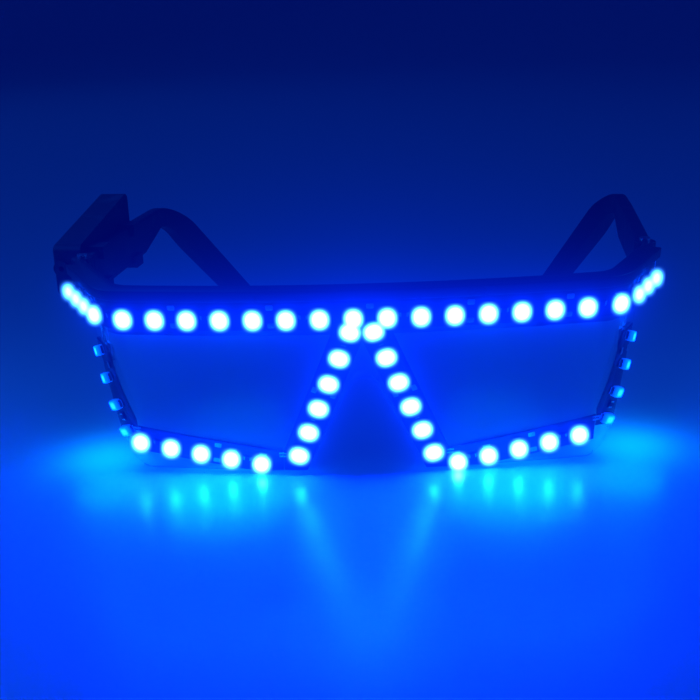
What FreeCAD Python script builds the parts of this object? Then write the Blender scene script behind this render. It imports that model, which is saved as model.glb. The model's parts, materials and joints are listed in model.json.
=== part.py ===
import FreeCAD, Part
import math
import os

import Sketcher

# Light up party glasses: a wrapped clear visor hangs under a black brow bar, flexible strips of
# square lamps follow the bar, the nose and the visor's lower edge, and two arms with ear hooks
# fold on upright screws. A control box is clipped on the outside of the left arm.
# Left and right are as seen from the front. X points right, Y back towards the arms, Z up.
# The origin is the middle of the upper row of lamps, on the visor's front face.
# Lengths are in millimetres and angles in degrees.

SIZES = {
    # The curve that the whole front follows, seen from above
    "front_radius": 383.0,
    "front_half_angle": 9.0,
    "corner_radius": 12.0,
    "corner_turn_angle": 52.7,
    "lean_angle": 14.0,
    # Visor
    "visor_thickness": 1.8,
    "visor_drop": 47.9,
    "visor_side_run": 24.8,
    "visor_side_margin": 0.8,
    "notch_drop": 18.9,
    "notch_radius": 4.4,
    "notch_half_angle": 25.5,
    "cheek_radius": 5.0,
    # Brow bar
    "bar_roof": 1.15,
    "bar_skirt": 2.0,
    "bar_wall": 3.1,
    "bar_lip": 1.0,
    "bar_lip_drop": 1.8,
    "bar_lip_clearance": 0.2,
    "bar_seat_clearance": 0.05,
    # Hinges
    "hinge_gap": 0.9,
    "hinge_offset": 0.8,
    "knuckle_radius": 3.0,
    "knuckle_half_height": 1.7,
    "knuckle_gap": 0.2,
    "knuckle_clearance": 0.6,
    "screw_radius": 0.8,
    "screw_clearance": 0.05,
    "screw_head_radius": 1.5,
    "screw_head_height": 0.9,
    "screw_slot_width": 0.4,
    "screw_slot_depth": 0.4,
    # Flexible strips and their lamps
    "strip_width": 8.0,
    "strip_thickness": 0.3,
    "strip_tail": 2.2,
    "strip_gap": 0.2,
    "lamp_pitch": 8.33,
    "lamp_width": 3.5,
    "lamp_length": 2.8,
    "lamp_height": 1.9,
    "lamp_rim": 0.35,
    "lamp_window_depth": 0.9,
    "top_row_shift": -1.93,
    "nose_row_start": 2.96,
    "nose_row_drop": 3.93,
    "nose_row_angle": 21.15,
    "bottom_row_margin": 3.67,
    "bottom_row_start_left": 28.4,
    "bottom_row_start_right": 24.6,
    "bottom_row_rise_angle": 11.0,
    "side_row_start": 65.3,
    "side_row_rise": 9.1,
    "side_row_angle": 18.0,
    "resistor_length": 2.0,
    "resistor_width": 1.25,
    "resistor_height": 0.5,
    "link_length": 2.0,
    "link_width": 0.6,
    "link_height": 0.25,
    "link_spacing": 1.0,
    "link_margin": 0.9,
    # Nose piece
    "nose_piece_depth": 8.0,
    "nose_piece_wall": 1.6,
    "nose_piece_inset": 0.6,
    # Arms
    "arm_swing_angle": -6.5,
    "arm_top": 7.0,
    "arm_drop": 4.2,
    "arm_thickness": 4.0,
    "arm_straight_margin": 2.2,
    "arm_taper_run": 18.0,
    "arm_back_middle": 3.2,
    "neck_width": 3.2,
    "hook_depth": 6.4,
    "hook_tip_depth": 4.6,
    "hook_bend_radius": 16.0,
    "hook_turn_angle": 56.0,
    "hook_cap_radius": 2.6,
    "hook_inward_lead": 2.0,
    "hook_inward_radius": 26.0,
    "hook_inward_angle": 38.0,
    # Control box
    "box_front_gap": 0.2,
    "box_drop": 5.6,
    "box_front_top": 9.5,
    "box_rear_top": 16.5,
    "box_base_depth": 3.6,
    "box_cover_depth": 4.8,
    "box_wall": 1.2,
    "box_floor": 1.0,
    "box_round": 2.2,
    "cover_edge_round": 1.0,
    "clip_width": 6.0,
    "clip_wall": 1.2,
    "clip_lip": 2.4,
    "clip_clearance": 0.05,
    "clip_front_margin": 4.2,
    "clip_rear_margin": 5.8,
    "post_radius": 1.5,
    "post_front_run": 16.2,
    "post_front_rise": 9.6,
    "post_rear_gap": 3.0,
    "post_rear_rise": 11.2,
    "cover_screw_radius": 0.7,
    "cover_screw_head_radius": 1.3,
    "cover_screw_head_height": 0.6,
    # What the box holds
    "board_thickness": 1.0,
    "board_margin": 0.3,
    "board_headroom": 0.9,
    "board_step_margin": 3.5,
    "cell_gap": 1.6,
    "cell_length": 22.0,
    "cell_height": 9.6,
    "cell_thickness": 4.0,
    "cell_margin": 1.0,
    "cell_round": 1.0,
    "chip_length": 4.0,
    "chip_width": 2.0,
    "chip_height": 1.0,
    "chip_margin": 0.7,
    "switch_gap": 2.4,
    "switch_chip_gap": 2.2,
    "switch_size": 5.2,
    "switch_height": 2.4,
    "switch_stem_radius": 1.5,
    "switch_stem_height": 0.7,
    "button_radius": 2.9,
    "button_flange_radius": 3.7,
    "button_flange_height": 0.8,
    "button_clearance": 0.15,
    "button_lift": 0.3,
    "button_proud": 0.9,
    "button_travel": 0.6,
    "button_stem_gap": 0.15,
    "socket_length": 6.4,
    "socket_height": 8.9,
    "socket_thickness": 3.2,
    "socket_wall": 0.35,
    "socket_hollow_depth": 4.8,
    "socket_margin": 1.6,
    "socket_gap": 4.8,
    "socket_clearance": 0.1,
    "socket_recess": 0.4,
    "slider_gap": 2.9,
    "slider_height": 2.4,
    "slider_width": 1.6,
    "slider_proud": 1.1,
    "slider_travel": 2.0,
    "slider_clearance": 0.2,
    "slider_plate_height": 4.4,
    "slider_plate_width": 2.6,
    "slider_plate_thickness": 0.8,
    "slider_middle": 6.6,
    "slide_switch_length": 4.4,
    "slide_switch_height": 5.6,
    "grommet_radius": 1.6,
    "grommet_flange_radius": 2.3,
    "grommet_flange": 0.8,
    "grommet_bore_radius": 0.8,
    "grommet_rise": 3.0,
    "grommet_clearance": 0.05,
    # One overrun serves every cut
    "overrun": 5.0,
}

DEGREES_IN_RADIAN = 180 / math.pi
NEARLY_PARALLEL = 0.999
SAME_PLACE = 1e-6
UP = FreeCAD.Vector(0, 0, 1)
ALONG_X = FreeCAD.Vector(1, 0, 0)
# The cheek's rounded corner: its start, its foot and its radius
CHEEK_SHARES = (0.5, 1.5, 2.0)
# How far a corner seam stands out from the side strip's inner edge
CORNER_SEAM_SHARE = 0.125
LAMPS_PER_RESISTOR = 3
LEFT, RIGHT = -1, 1


class Size:
    """A length or angle that carries its number and the sheet expression that gives it."""

    def __init__(self, value, text):
        self.value = float(value)
        self.text = text

    def joined(self, other, sign, value):
        return Size(value, f"({self.text} {sign} {as_size(other).text})")

    def __add__(self, other):
        return self.joined(other, "+", self.value + as_size(other).value)

    def __sub__(self, other):
        return self.joined(other, "-", self.value - as_size(other).value)

    def __mul__(self, other):
        return self.joined(other, "*", self.value * as_size(other).value)

    def __truediv__(self, other):
        return self.joined(other, "/", self.value / as_size(other).value)

    def __rsub__(self, other):
        return as_size(other) - self

    def __neg__(self):
        return Size(-self.value, f"(0 - {self.text})")


def as_size(thing):
    return thing if isinstance(thing, Size) else Size(thing, format(thing, ".12g"))


def sine(angle):
    return Size(math.sin(math.radians(angle.value)), f"sin({angle.text})")


def cosine(angle):
    return Size(math.cos(math.radians(angle.value)), f"cos({angle.text})")


def tangent(angle):
    return Size(math.tan(math.radians(angle.value)), f"tan({angle.text})")


def root(size):
    return Size(math.sqrt(size.value), f"sqrt({size.text})")


document = FreeCAD.newDocument("party_glasses")
sheet = document.addObject("Spreadsheet::Sheet", "Sizes")
for row, (alias, number) in enumerate(SIZES.items(), start=1):
    sheet.set(f"A{row}", alias)
    sheet.set(f"B{row}", str(number))
    sheet.setAlias(f"B{row}", alias)
document.recompute()

pieces = []


def get(alias):
    return Size(sheet.get(alias), f"Sizes.{alias}")


# Sketches and features

# How a sketch names the points of a line, an arc or a circle, and its own origin
START, END, CENTRE = 1, 2, 3
SKETCH_ORIGIN = (-1, 1)


class Corner:
    """A corner of an outline, and the signed radius of the arc that leads to the next corner.

    A positive radius has its centre to the left of the way round, a negative one to the right.
    """

    def __init__(self, across, up, arc=None):
        self.across = as_size(across)
        self.up = as_size(up)
        self.arc = arc

    def point(self):
        return FreeCAD.Vector(self.across.value, self.up.value, 0)


def arc_middle(start, end, radius):
    """Middle point of the smaller arc from start to end; the sign of radius gives its centre's side."""
    chord = end - start
    half = chord.Length / 2
    rise = abs(radius) - math.sqrt(radius * radius - half * half)
    away = FreeCAD.Vector(chord.y, -chord.x, 0).normalize() * math.copysign(rise, radius)
    return (start + end) * 0.5 + away


def bind(sketch, constraint, size):
    index = sketch.addConstraint(constraint)
    sketch.setExpression(f"Constraints[{index}]", size.text)


def place_point(sketch, line, point, across, up):
    """Hold one point of a line at its distances across and up from the sketch's origin."""
    bind(sketch, Sketcher.Constraint("DistanceX", *SKETCH_ORIGIN, line, point, across.value), across)
    bind(sketch, Sketcher.Constraint("DistanceY", *SKETCH_ORIGIN, line, point, up.value), up)


def draw_loop(sketch, corners):
    """Draw one closed loop, with every corner and radius tied to the sheet."""
    first = sketch.GeometryCount
    ends = []
    for here, there in zip(corners, corners[1:] + corners[:1]):
        start, end = here.point(), there.point()
        if here.arc is None:
            sketch.addGeometry(Part.LineSegment(start, end), False)
            ends.append((START, END))
        elif here.arc.value > 0:
            sketch.addGeometry(Part.Arc(start, arc_middle(start, end, here.arc.value), end), False)
            ends.append((START, END))
        else:
            sketch.addGeometry(Part.Arc(end, arc_middle(start, end, here.arc.value), start), False)
            ends.append((END, START))
    for step, corner in enumerate(corners):
        line = first + step
        following = (step + 1) % len(corners)
        sketch.addConstraint(
            Sketcher.Constraint("Coincident", line, ends[step][1], first + following, ends[following][0])
        )
        at = ends[step][0]
        place_point(sketch, line, at, corner.across, corner.up)
        if corner.arc is not None:
            reach = corner.arc if corner.arc.value > 0 else -corner.arc
            bind(sketch, Sketcher.Constraint("Radius", line, reach.value), reach)


def draw_circle(sketch, across, up, radius):
    across, up = as_size(across), as_size(up)
    middle = FreeCAD.Vector(across.value, up.value, 0)
    line = sketch.addGeometry(Part.Circle(middle, UP, radius.value), False)
    place_point(sketch, line, CENTRE, across, up)
    bind(sketch, Sketcher.Constraint("Radius", line, radius.value), radius)


def rectangle(low_across, low_up, high_across, high_up):
    return [
        Corner(low_across, low_up),
        Corner(high_across, low_up),
        Corner(high_across, high_up),
        Corner(low_across, high_up),
    ]


def new_sketch(body, name, plane, height=0, shift_up=0):
    """A sketch on one of the body's own origin planes, lifted along its normal by height."""
    sketch = body.newObject("Sketcher::SketchObject", name)
    support = [item for item in body.Origin.OriginFeatures if item.Role == plane][0]
    sketch.AttachmentSupport = [(support, "")]
    sketch.MapMode = "FlatFace"
    sketch.setExpression(".AttachmentOffset.Base.z", as_size(height).text)
    sketch.setExpression(".AttachmentOffset.Base.y", as_size(shift_up).text)
    return sketch


def new_body(label, piece=True):
    body = document.addObject("PartDesign::Body", label)
    body.Label = label
    if piece:
        pieces.append(body)
    return body


def pad(body, sketch, length, name):
    feature = body.newObject("PartDesign::Pad", name)
    feature.Profile = sketch
    feature.setExpression("Length", as_size(length).text)
    sketch.Visibility = False
    document.recompute()
    return feature


def pocket(body, sketch, name, length=None):
    """Cut along the sketch's own normal for a length, or both ways through all."""
    feature = body.newObject("PartDesign::Pocket", name)
    feature.Profile = sketch
    if length is None:
        feature.Type = "ThroughAll"
        feature.Midplane = True
    else:
        feature.Reversed = True
        feature.setExpression("Length", as_size(length).text)
    before = feature.BaseFeature.Shape.Volume
    document.recompute()
    if feature.Shape.Volume >= before:
        raise RuntimeError(f"{body.Label}: {name} cuts nothing")
    return feature


def prism(body, name, plane, corners, low, high):
    """Pad an outline from low to high along the plane's normal."""
    low, high = as_size(low), as_size(high)
    sketch = new_sketch(body, name + "_outline", plane, low)
    draw_loop(sketch, corners)
    return pad(body, sketch, high - low, name)


def rod(body, name, plane, across, up, radius, low, high):
    low, high = as_size(low), as_size(high)
    sketch = new_sketch(body, name + "_outline", plane, low)
    draw_circle(sketch, across, up, radius)
    return pad(body, sketch, high - low, name)


def cut_prism(body, name, plane, corners, low, high):
    low, high = as_size(low), as_size(high)
    sketch = new_sketch(body, name + "_outline", plane, low)
    draw_loop(sketch, corners)
    return pocket(body, sketch, name, high - low)


def cut_rod(body, name, plane, across, up, radius, low, high):
    low, high = as_size(low), as_size(high)
    sketch = new_sketch(body, name + "_outline", plane, low)
    draw_circle(sketch, across, up, radius)
    return pocket(body, sketch, name, high - low)


def keep_inside(body, name, plane, corners, reach):
    """Cut away all that lies outside an outline, out to a distance of reach from the origin."""
    sketch = new_sketch(body, name + "_outline", plane)
    draw_loop(sketch, rectangle(-reach, -reach, reach, reach))
    draw_loop(sketch, corners)
    return pocket(body, sketch, name)


def round_edges(body, name, edges, radius):
    base = body.Tip
    feature = body.newObject("PartDesign::Fillet", name)
    feature.Base = (base, edges)
    feature.setExpression("Radius", radius.text)
    document.recompute()
    return feature


def edges_along(shape, direction):
    """Names of the straight edges that run along a direction."""
    names = []
    for number, edge in enumerate(shape.Edges, start=1):
        if isinstance(edge.Curve, Part.Line):
            along = edge.tangentAt(edge.FirstParameter)
            if abs(along.dot(direction)) > NEARLY_PARALLEL:
                names.append(f"Edge{number}")
    return names


def edges_at(shape, across):
    """Names of the edges that lie wholly at one distance across."""
    names = []
    for number, edge in enumerate(shape.Edges, start=1):
        box = edge.BoundBox
        if abs(box.XMin - across.value) < SAME_PLACE and abs(box.XMax - across.value) < SAME_PLACE:
            names.append(f"Edge{number}")
    return names


# The curve of the front, seen from above

front_radius = get("front_radius")
corner_radius = get("corner_radius")
end_heading = get("front_half_angle") + get("corner_turn_angle")
lean = get("lean_angle")
corner_start = front_radius * get("front_half_angle") / DEGREES_IN_RADIAN
corner_end = corner_start + corner_radius * get("corner_turn_angle") / DEGREES_IN_RADIAN
corner_centre_across = (front_radius - corner_radius) * sine(get("front_half_angle"))
corner_centre_back = front_radius - (front_radius - corner_radius) * cosine(get("front_half_angle"))


def front_point(along, outward=0):
    """Place on the curve a distance along from the middle, stood off outward: across, back, heading."""
    side = RIGHT if along.value >= 0 else LEFT
    run = along * side
    outward = as_size(outward)
    if run.value <= corner_start.value:
        heading = run / front_radius * DEGREES_IN_RADIAN
        across = sine(heading) * (front_radius + outward)
        back = front_radius - cosine(heading) * (front_radius + outward)
    else:
        turned = (run - corner_start) / corner_radius * DEGREES_IN_RADIAN
        beyond = run - corner_end
        if beyond.value <= 0:
            heading = get("front_half_angle") + turned
            beyond = as_size(0)
        else:
            heading = end_heading
        across = corner_centre_across + sine(heading) * (corner_radius + outward) + cosine(heading) * beyond
        back = corner_centre_back - cosine(heading) * (corner_radius + outward) + sine(heading) * beyond
    return across * side, back, heading * side


def band_corners(outer, inner, side_run):
    """Outline, from above, of a wall that follows the front between two stand-offs."""
    outer, inner = as_size(outer), as_size(inner)
    ends = corner_end + side_run
    stations = [-ends, -corner_end, -corner_start, corner_start, corner_end, ends]
    bends = [None, corner_radius, front_radius, corner_radius, None]
    corners = []
    for station, bend in zip(stations, bends + [None]):
        across, back, _ = front_point(station, outer)
        corners.append(Corner(across, back, None if bend is None else bend + outer))
    for station, bend in zip(reversed(stations), bends + [None]):
        across, back, _ = front_point(station, inner)
        corners.append(Corner(across, back, None if bend is None else -(bend + inner)))
    return corners


def leaning_wall(body, name, outer, inner, side_run, low, high):
    """Pad the wall's plan from one height to another, leaning back as it goes down."""
    low, high = as_size(low), as_size(high)
    sketch = new_sketch(body, name + "_plan", "XY_Plane", low, -low * tangent(lean))
    draw_loop(sketch, band_corners(outer, inner, side_run))
    feature = pad(body, sketch, high - low, name)
    feature.UseCustomVector = True
    feature.AlongSketchNormal = True
    feature.setExpression("Direction.x", "0")
    feature.setExpression("Direction.y", f"-sin({lean.text})")
    feature.setExpression("Direction.z", f"cos({lean.text})")
    document.recompute()
    return feature


def level(down):
    """Height of a place a distance down the leaning wall."""
    return -(down * cosine(lean))


def front_corner(along, down, arc=None):
    """Corner of a front-view outline at a place on the wall."""
    across, _, _ = front_point(along)
    return Corner(across, level(down), arc)


def front_placement(along, down, tilt, lift):
    """Placement on the wall's face: local X along tilt from the wall's level line, local Z outwards."""
    across, back, heading = (item.value for item in front_point(as_size(along)))
    slope = math.radians(lean.value)
    turn = math.radians(heading)
    level_way = FreeCAD.Vector(math.cos(turn), math.sin(turn), 0)
    outward = level_way.cross(FreeCAD.Vector(0, -math.sin(slope), math.cos(slope))).normalize()
    rising_way = outward.cross(level_way)
    place = FreeCAD.Vector(across, back + down * math.sin(slope), -down * math.cos(slope)) + outward * lift
    rotation = FreeCAD.Rotation(level_way, rising_way, outward, "ZXY")
    return FreeCAD.Placement(place, rotation * FreeCAD.Rotation(UP, tilt))


def mirrored(corners, side):
    """The outline on the right or left side, always turning the same way round."""
    if side == RIGHT:
        return corners
    flipped = []
    count = len(corners)
    for step in range(count):
        corner = corners[-step - 1]
        arc = corners[(count - step - 2) % count].arc
        flipped.append(Corner(-corner.across, corner.up, arc))
    return flipped


# Front of the glasses

reach = front_radius
visor_thickness = get("visor_thickness")
strip_half = get("strip_width") / 2
lip_foot = strip_half + get("bar_lip_clearance")
visor_top = lip_foot + get("bar_lip_drop")
bar_top = visor_top + get("bar_seat_clearance") + get("bar_roof")
bar_drop = strip_half + get("bar_skirt")
hinge_run = get("visor_side_run") + get("knuckle_radius") + get("hinge_gap")
hinge_inset = visor_thickness + get("bar_seat_clearance") + get("bar_wall") / 2 + get("hinge_offset")
bottom_row_drop = get("visor_drop") / cosine(lean) - get("bottom_row_margin")
side_row_drop = bottom_row_drop - get("side_row_rise")
lamp_pitch = get("lamp_pitch")
side_angle = get("side_row_angle")
nose_angle = get("nose_row_angle")
rise_angle = get("bottom_row_rise_angle")


def side_line(down, outward):
    """Distance along the front of the side row's line at a depth, moved outward across the strip."""
    climb = side_row_drop - down
    return get("side_row_start") + climb * tangent(side_angle) + outward / cosine(side_angle)


def bottom_line(along, upward):
    """Depth of the bottom row's line at a distance along, moved upward across the strip."""
    start = get("bottom_row_start_left")
    return bottom_row_drop - (along - start) * tangent(rise_angle) - upward / cosine(rise_angle)


def nose_line(down, outward):
    """Distance along the front of the nose row's line at a depth, moved outward across the strip."""
    descent = down - get("nose_row_drop")
    return get("nose_row_start") + descent * tangent(nose_angle) + outward / cosine(nose_angle)


def notch_half(height):
    """Half width of the nose notch at a height below its rounded top."""
    half_angle = get("notch_half_angle")
    radius = get("notch_radius")
    tangent_height = -get("notch_drop") - radius * (1 - sine(half_angle))
    return radius * cosine(half_angle) + (tangent_height - height) * tangent(half_angle)


def notch_shoulder():
    """Height where the notch's round top meets its straight sides."""
    return -get("notch_drop") - get("notch_radius") * (1 - sine(get("notch_half_angle")))


def make_visor():
    body = new_body("visor")
    low, high = -get("visor_drop"), visor_top
    leaning_wall(body, "wall", 0, -visor_thickness, get("visor_side_run"), low, high)
    margin = strip_half + get("visor_side_margin")
    lobe_top = bar_drop
    side_top = front_corner(side_line(lobe_top, margin), lobe_top)
    side_low = front_corner(side_line(side_row_drop, margin), side_row_drop)
    cheek_start, cheek_foot, cheek_arc = (get("cheek_radius") * share for share in CHEEK_SHARES)
    cheek_top = low + get("cheek_radius")
    far = reach / 2
    shoulder = notch_shoulder()
    corners = [
        Corner(-far, high + get("overrun")),
        Corner(-far, -lobe_top),
        Corner(-side_top.across, side_top.up),
        Corner(-side_low.across, side_low.up),
        Corner(-side_low.across + cheek_start, cheek_top, cheek_arc),
        Corner(-side_low.across + cheek_foot, low),
        Corner(-notch_half(low), low),
        Corner(-notch_half(shoulder), shoulder, -get("notch_radius")),
        Corner(notch_half(shoulder), shoulder),
        Corner(notch_half(low), low),
        Corner(side_low.across - cheek_foot, low, cheek_arc),
        Corner(side_low.across - cheek_start, cheek_top),
        Corner(side_low.across, side_low.up),
        Corner(side_top.across, side_top.up),
        Corner(far, -lobe_top),
        Corner(far, high + get("overrun")),
    ]
    keep_inside(body, "outline", "XZ_Plane", corners, reach)
    return body


def hinge_place(side):
    """Across and back of a hinge's upright axis."""
    across, back, _ = front_point((corner_end + hinge_run) * side, -hinge_inset)
    return across, back


def make_brow_bar():
    body = new_body("brow_bar")
    top, low = bar_top, -bar_drop
    run = hinge_run
    gap = get("bar_seat_clearance")
    back = -(visor_thickness + gap)
    roof = visor_top + gap
    lip = get("bar_lip") + gap
    leaning_wall(body, "rear_wall", back, back - get("bar_wall"), run, low, top)
    leaning_wall(body, "roof", lip, back, get("visor_side_run"), roof, top)
    leaning_wall(body, "front_lip", lip, gap, get("visor_side_run"), lip_foot, roof)
    slot = get("knuckle_half_height") + get("knuckle_gap")
    for side, name in ((LEFT, "left"), (RIGHT, "right")):
        across, back_place = hinge_place(side)
        rod(body, f"lug_{name}", "XY_Plane", across, back_place, get("knuckle_radius"), low, top)
    for side, name in ((LEFT, "left"), (RIGHT, "right")):
        across, back_place = hinge_place(side)
        wide = get("knuckle_radius") + get("knuckle_clearance")
        cut_rod(body, f"slot_{name}", "XY_Plane", across, back_place, wide, -slot, slot)
        bore = get("screw_radius") + get("screw_clearance")
        end = get("overrun")
        cut_rod(body, f"bore_{name}", "XY_Plane", across, back_place, bore, low - end, top + end)
    return body


def make_hinge_screw(side, label):
    body = new_body(label)
    across, back = hinge_place(side)
    top = bar_top
    rod(body, "shank", "XY_Plane", across, back, get("screw_radius"), -bar_drop, top)
    head_top = top + get("screw_head_height")
    rod(body, "head", "XY_Plane", across, back, get("screw_head_radius"), top, head_top)
    half, long_half = get("screw_slot_width") / 2, get("screw_head_radius") * 2
    slot = rectangle(across - long_half, back - half, across + long_half, back + half)
    cut_prism(body, "slot", "XY_Plane", slot, head_top - get("screw_slot_depth"), head_top + get("overrun"))
    return body


# Strips


def strip(label, corners, low, high, side_run):
    """A thin strip on the visor's face, cut to its front-view outline."""
    body = new_body(label)
    leaning_wall(body, "sheet", get("strip_thickness"), 0, side_run, low, high)
    keep_inside(body, "outline", "XZ_Plane", corners, reach)
    return body


def lamps_along(room, step):
    """How many lamps a step apart fit in a straight run, with the first at its start."""
    return 1 + int(room.value / step.value)


def top_lamps_each_side():
    room = corner_end + get("visor_side_run") + get("top_row_shift") - get("strip_tail")
    return lamps_along(room, lamp_pitch) - 1


def nose_lamps():
    room = lower_edge() - get("strip_tail") - get("nose_row_drop")
    return lamps_along(room, lamp_pitch * cosine(nose_angle))


def bottom_lamps(side):
    return lamps_along(corner_seam() - bottom_start(side), lamp_pitch * cosine(rise_angle))


def side_lamps():
    room = side_row_drop - bar_drop / cosine(lean) - get("strip_tail")
    return lamps_along(room, lamp_pitch * cosine(side_angle))


def bottom_start(side):
    return get("bottom_row_start_left") if side == LEFT else get("bottom_row_start_right")


def make_top_strip():
    """The upper strip, cut back in the middle where the two nose strips meet it."""
    edge = strip_half
    tail = get("strip_tail")
    last = lamp_pitch * top_lamps_each_side()
    left_end = front_point(get("top_row_shift") - last - tail)[0]
    right_end = front_point(get("top_row_shift") + last + tail)[0]
    cut_top = get("lamp_width") / 2 + get("strip_gap") / 2
    cut_half = nose_line(edge, strip_half) + get("strip_gap") * 2
    corners = [
        Corner(left_end, -edge),
        Corner(-cut_half, -edge),
        Corner(-cut_half, -cut_top),
        Corner(cut_half, -cut_top),
        Corner(cut_half, -edge),
        Corner(right_end, -edge),
        Corner(right_end, edge),
        Corner(left_end, edge),
    ]
    return strip("top_strip", corners, -edge, edge, get("visor_side_run"))


def nose_seam():
    """Distance along the front of the seam between a nose strip and a bottom strip."""
    last = lamp_pitch * (nose_lamps() - 1) + get("strip_tail")
    return get("nose_row_start") + last * sine(nose_angle) + strip_half * cosine(nose_angle)


def corner_seam():
    """Distance along the front of the seam between a bottom strip and a side strip."""
    return side_line(side_row_drop, -strip_half) + get("strip_width") * CORNER_SEAM_SHARE


def lower_edge():
    """Depth of the strips' lowest edge, just above the visor's own."""
    return get("visor_drop") / cosine(lean) - get("strip_gap")


def make_nose_strip(side, label):
    """A slanting strip beside the nose, mitred against its twin and trimmed to the visor's edge."""
    top = (get("lamp_width") / 2 + get("strip_gap")) / cosine(lean)
    half_across = strip_half / cosine(nose_angle)
    middle = get("strip_gap") / 2
    meet = get("nose_row_drop") + (half_across + middle - get("nose_row_start")) / tangent(nose_angle)
    seam = nose_seam()
    shoulder = get("nose_row_drop") + (seam - half_across - get("nose_row_start")) / tangent(nose_angle)
    corners = [
        front_corner(middle, top),
        front_corner(middle, meet),
        front_corner(nose_line(lower_edge(), -strip_half), lower_edge()),
        front_corner(seam, lower_edge()),
        front_corner(seam, shoulder),
        front_corner(nose_line(top, strip_half), top),
    ]
    return strip(label, mirrored(corners, side), level(lower_edge()), level(top), get("overrun"))


def make_bottom_strip(side, label):
    """The strip over the visor's lower edge, trimmed level with that edge at its inner end."""
    edge = lower_edge()
    inner = nose_seam() + get("strip_gap")
    outer = corner_seam()
    low_line = bottom_row_drop + strip_half / cosine(rise_angle)
    level_end = get("bottom_row_start_left") + (low_line - edge) / tangent(rise_angle)
    corners = [
        front_corner(inner, edge),
        front_corner(level_end, edge),
        front_corner(outer, bottom_line(outer, -strip_half)),
        front_corner(outer, bottom_line(outer, strip_half)),
        front_corner(inner, bottom_line(inner, strip_half)),
    ]
    top = level(bottom_line(outer, strip_half))
    return strip(label, mirrored(corners, side), level(edge), top, get("overrun"))


def make_side_strip(side, label):
    """The short strip that climbs the outer edge of the visor."""
    low_down = side_row_drop + get("strip_tail")
    row_length = lamp_pitch * (side_lamps() - 1)
    high_down = side_row_drop - row_length * cosine(side_angle) - get("strip_tail")
    inner_low = corner_seam() + get("strip_gap")
    inner_line = side_line(side_row_drop, -strip_half)
    trim_down = side_row_drop - (inner_low - inner_line) / tangent(side_angle)
    middle_down = (low_down + high_down) / 2
    corners = [
        front_corner(inner_low, low_down),
        front_corner(side_line(low_down, strip_half), low_down),
        front_corner(side_line(middle_down, strip_half), middle_down),
        front_corner(side_line(high_down, strip_half), high_down),
        front_corner(side_line(high_down, -strip_half), high_down),
        front_corner(side_line(middle_down, -strip_half), middle_down),
        front_corner(inner_low, trim_down),
    ]
    return strip(label, mirrored(corners, side), level(low_down), level(high_down), get("visor_side_run"))


# Lamps and other small parts soldered to the strips


def numbers(*aliases):
    return [get(alias).value for alias in aliases]


def top_row():
    shift, pitch = get("top_row_shift").value, lamp_pitch.value
    most = top_lamps_each_side()
    return [(shift + step * pitch, 0, 0) for step in range(-most, most + 1)]


def straight_row(count, along, down, heading, side):
    """Places along a straight row: distance along, depth and tilt. Heading 90 is straight down."""
    turn = math.radians(heading)
    tilt = -heading if side == RIGHT else heading - 180
    places = []
    for step in range(count):
        way = step * lamp_pitch.value
        places.append((side * (along + way * math.cos(turn)), down + way * math.sin(turn), tilt))
    return places


def nose_row(side):
    along, down, angle = numbers("nose_row_start", "nose_row_drop", "nose_row_angle")
    return straight_row(nose_lamps(), along, down, 90 - angle, side)


def bottom_row(side):
    start = bottom_start(side)
    down = bottom_line(start, as_size(0))
    return straight_row(bottom_lamps(side), start.value, down.value, -rise_angle.value, side)


def side_row(side):
    along, angle = numbers("side_row_start", "side_row_angle")
    return straight_row(side_lamps(), along, side_row_drop.value, angle - 90, side)


def make_lamp_patterns():
    """One lamp housing and one window, from which every row is copied."""
    half_long, half_wide = get("lamp_length") / 2, get("lamp_width") / 2
    height, rim = get("lamp_height"), get("lamp_rim")
    floor = height - get("lamp_window_depth")
    opening = rectangle(rim - half_long, rim - half_wide, half_long - rim, half_wide - rim)
    housing = new_body("lamp_housing_pattern", piece=False)
    prism(housing, "block", "XY_Plane", rectangle(-half_long, -half_wide, half_long, half_wide), 0, height)
    cut_prism(housing, "cup", "XY_Plane", opening, floor, height)
    window = new_body("lamp_window_pattern", piece=False)
    prism(window, "block", "XY_Plane", opening, floor, height)
    return housing, window


def copies(label, pattern, places, lift):
    """Rows follow the curved front, so their copies are placed one by one."""
    feature = document.addObject("Part::Feature", label)
    feature.Label = label
    solids = []
    for along, down, tilt in places:
        solid = pattern.Shape.copy()
        solid.Placement = front_placement(along, down, tilt, lift)
        solids.append(solid)
    feature.Shape = Part.makeCompound(solids)
    pieces.append(feature)
    return feature


def between(row):
    """Places halfway to the next lamp, one for every few lamps."""
    places = []
    for here, there in list(zip(row, row[1:]))[:: LAMPS_PER_RESISTOR]:
        places.append(((here[0] + there[0]) / 2, (here[1] + there[1]) / 2, here[2]))
    return places


def make_lamps():
    housing, window = make_lamp_patterns()
    lift = get("strip_thickness").value
    rows = {
        "top": top_row(),
        "nose": nose_row(LEFT) + nose_row(RIGHT),
        "bottom": bottom_row(LEFT) + bottom_row(RIGHT),
        "side": side_row(LEFT) + side_row(RIGHT),
    }
    for name, places in rows.items():
        copies(f"{name}_lamp_housings", housing, places, lift)
        copies(f"{name}_lamp_windows", window, places, lift)
    block = new_body("resistor_pattern", piece=False)
    half_long, half_wide = get("resistor_length") / 2, get("resistor_width") / 2
    outline = rectangle(-half_long, -half_wide, half_long, half_wide)
    prism(block, "block", "XY_Plane", outline, 0, get("resistor_height"))
    places = between(top_row())
    for side in (LEFT, RIGHT):
        for row in (nose_row(side), bottom_row(side), side_row(side)):
            places += between(row)
    copies("resistors", block, places, lift)


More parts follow.
